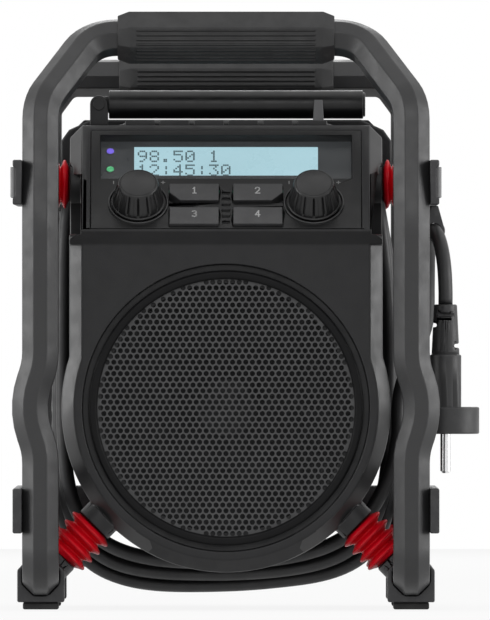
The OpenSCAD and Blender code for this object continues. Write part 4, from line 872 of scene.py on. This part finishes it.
BUTTON_H, BUTTON_INK_H = 2.0, 2.005                # a button's face, and the ink's underside
FIGURE_SIZE, FIGURE_STROKE = (2.3, 4.0), 0.62
MARK_SIZE, MARK_STROKE, MARK_Z, MARK_INK_H = (1.7, 1.7), 0.42, 207.2, 0.01
for b, (x, z) in enumerate(((-15.3, 203.4), (15.3, 203.4), (-15.3, 192.0), (15.3, 192.0)), 1):
    ink = ([], [])
    print_strokes(ink, STROKES[str(b)], x, slope_at(z, BUTTON_H), BUTTON_INK_H, FIGURE_SIZE,
                  FIGURE_STROKE)
    piece = mesh_object(f"button_{b}_figure", *ink, body=BODY_OF[f"button_{b}"], smooth=False)
    dress(piece, PRINT)
UPRIGHT, ACROSS = [(0.5, 0.0), (0.5, 1.0)], [(0.0, 0.5), (1.0, 0.5)]
ink = ([], [])
for x, mark in ((-54.6, [UPRIGHT]), (-30.6, [UPRIGHT, ACROSS]),
                (30.6, [UPRIGHT]), (54.6, [UPRIGHT, ACROSS])):
    print_strokes(ink, mark, x, slope_at(MARK_Z), MARK_INK_H, MARK_SIZE, MARK_STROKE)
dress(mesh_object("knob_marks", *ink, body="radio", smooth=False), PRINT_DIM)

# ---------------------------------------------------------------- grille

SHEET_FRONT, SHEET_BACK = -72.65, -72.0             # y of the sheet's two faces
PITCH, HOLE_R, MESH_R, HOLE_SIDES = 3.2, 1.26, 63.8, 12
ROW_PITCH = PITCH * math.sqrt(3) / 2
PLAIN_RIM = 1.6                                    # a cell nearer the edge has no hole
CELL_SLACK = 0.05                                  # a cell this little inside is left out


def perforated_disc():
    """A thin disc of hexagonal cells around round holes, closed at its rim."""
    verts, faces, keys = [], [], {}

    def corner(x, z, y):
        """The number of a cell's corner, drawn in to the rim and shared with its neighbours."""
        r = math.hypot(x, z)
        if r > MESH_R:
            x, z = x * MESH_R / r, z * MESH_R / r
        key = (round(x, 3), round(z, 3), y)
        if key not in keys:
            keys[key] = len(verts)
            verts.append((x, y, SPEAKER_Z + z))
        return keys[key]

    rows = int(MESH_R / ROW_PITCH) + 2
    side = PITCH / math.sqrt(3)
    for j in range(-rows, rows + 1):
        for i in range(-rows, rows + 1):
            cx, cz = (i + (j % 2) / 2) * PITCH, j * PITCH * math.sqrt(3) / 2
            ring = [(cx + side * math.cos(math.radians(60 * k + 30)),
                     cz + side * math.sin(math.radians(60 * k + 30))) for k in range(6)]
            if min(math.hypot(*p) for p in ring) > MESH_R - CELL_SLACK:
                continue
            holed = math.hypot(cx, cz) < MESH_R - PLAIN_RIM
            loops = []
            for y in (SHEET_FRONT, SHEET_BACK):
                hexagon = []
                for p in ring:
                    v = corner(*p, y)
                    if v not in hexagon:
                        hexagon.append(v)
                loops.append(hexagon)
            if not holed or len(loops[0]) < 6:
                if len(loops[0]) > 2:
                    faces.append(tuple(loops[0]))
                    faces.append(tuple(reversed(loops[1])))
                continue
            holes = []
            for y in (SHEET_FRONT, SHEET_BACK):
                n = len(verts)
                verts.extend((cx + HOLE_R * math.cos(math.radians(30 * k + 30)), y,
                              SPEAKER_Z + cz + HOLE_R * math.sin(math.radians(30 * k + 30)))
                             for k in range(HOLE_SIDES))
                holes.append([n + k for k in range(HOLE_SIDES)])
            for k in range(HOLE_SIDES):
                m = (k + 1) % HOLE_SIDES
                faces.append((holes[0][k], holes[0][m], holes[1][m], holes[1][k]))
                for hexagon, hole, turn in ((loops[0], holes[0], 1), (loops[1], holes[1], -1)):
                    a = hexagon[k // 2]
                    if k % 2 == 0:
                        face = (a, hole[m], hole[k])
                    else:
                        face = (a, hexagon[(k // 2 + 1) % 6], hole[m], hole[k])
                    faces.append(face[::turn])
    return verts, faces


def close_rim(obj):
    """Joins the front and back outlines of an open sheet pair."""
    bm = bmesh.new()
    bm.from_mesh(obj.data)
    edges = [e for e in bm.edges if e.is_boundary]
    bmesh.ops.bridge_loops(bm, edges=edges)
    bmesh.ops.recalc_face_normals(bm, faces=bm.faces)
    bm.to_mesh(obj.data)
    bm.free()


grille = mesh_object("grille_sheet", *perforated_disc(), body="radio", smooth=False)
close_rim(grille)
dress(grille, GRILLE)
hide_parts("speaker_grille")

# ---------------------------------------------------------------- stage, light, world

WORLD_LIGHT, WORLD_SEEN = 0.3, 1.0                 # as light, and where it is seen
FLOOR_LIGHT, FLOOR_SEEN, FLOOR_WHITE = 0.45, 1.0, 0.88
FLOOR_SIZE, FLOOR_Z = 5.0, -0.0004


def seen_rays(nt):
    """1 for the rays of the camera, of glossy reflections and through glass, 0 for the rest."""
    path = nt.nodes.new("ShaderNodeLightPath")
    seen = None
    for name in ("Is Camera Ray", "Is Glossy Ray", "Is Transmission Ray"):
        if seen is None:
            seen = path.outputs[name]
            continue
        both = nt.nodes.new("ShaderNodeMath")
        both.operation = "MAXIMUM"
        nt.links.new(seen, both.inputs[0])
        nt.links.new(path.outputs[name], both.inputs[1])
        seen = both.outputs[0]
    return seen


world = bpy.data.worlds.new("world")
bpy.context.scene.world = world
world.use_nodes = True
nt = world.node_tree
nt.nodes.clear()
out = nt.nodes.new("ShaderNodeOutputWorld")
whites = []
for strength in (WORLD_LIGHT, WORLD_SEEN):
    background = nt.nodes.new("ShaderNodeBackground")
    background.inputs[0].default_value = (1, 1, 1, 1)
    background.inputs[1].default_value = strength
    whites.append(background.outputs[0])
mixer = nt.nodes.new("ShaderNodeMixShader")
nt.links.new(seen_rays(nt), mixer.inputs[0])
nt.links.new(whites[0], mixer.inputs[1])
nt.links.new(whites[1], mixer.inputs[2])
nt.links.new(mixer.outputs[0], out.inputs[0])

floor_mat = bpy.data.materials.new("floor_paper")
floor_mat.use_nodes = True
nt = floor_mat.node_tree
nt.nodes.clear()
out = nt.nodes.new("ShaderNodeOutputMaterial")
seen = seen_rays(nt)
paper = nt.nodes.new("ShaderNodeBsdfDiffuse")
tone = nt.nodes.new("ShaderNodeMapRange")
tone.inputs["To Min"].default_value = FLOOR_LIGHT
tone.inputs["To Max"].default_value = FLOOR_SEEN
nt.links.new(seen, tone.inputs[0])
nt.links.new(tone.outputs[0], paper.inputs[0])
white = nt.nodes.new("ShaderNodeEmission")
white.inputs[0].default_value = (1, 1, 1, 1)
white.inputs[1].default_value = 1.0
share = nt.nodes.new("ShaderNodeMath")
share.operation = "MULTIPLY"
share.inputs[1].default_value = FLOOR_WHITE
nt.links.new(seen, share.inputs[0])
mixer = nt.nodes.new("ShaderNodeMixShader")
nt.links.new(share.outputs[0], mixer.inputs[0])
nt.links.new(paper.outputs[0], mixer.inputs[1])
nt.links.new(white.outputs[0], mixer.inputs[2])
nt.links.new(mixer.outputs[0], out.inputs[0])
bpy.ops.mesh.primitive_plane_add(size=FLOOR_SIZE, location=(0, 0, FLOOR_Z))
floor = bpy.context.object
floor.name = "floor"
floor.data.materials.append(floor_mat)


def area(name, at, to, size, power):
    """A rectangular lamp, unseen by the camera; metres and watts."""
    data = bpy.data.lights.new(name, "AREA")
    data.shape = "RECTANGLE"
    data.size, data.size_y = size
    data.energy = power
    obj = link(bpy.data.objects.new(name, data))
    obj.location = at
    obj.visible_camera = False
    obj.rotation_euler = (Vector(to) - Vector(at)).to_track_quat("-Z", "Y").to_euler()
    return obj


area("left_light", (-1.7, -0.25, 0.45), (0, 0, 0.13), (1.0, 1.2), 16)
area("right_light", (1.7, -0.25, 0.45), (0, 0, 0.13), (1.0, 1.2), 16)
area("front_light", (0.0, -2.3, 1.3), (0, 0, 0.15), (1.4, 0.8), 8)
area("top_light", (0.0, 0.1, 2.0), (0, 0, 0.15), (1.2, 1.0), 2.4)
area("rear_light", (0.0, 2.1, 0.9), (0, 0, 0.15), (1.0, 0.8), 6)

bpy.context.scene.view_settings.view_transform = "Standard"
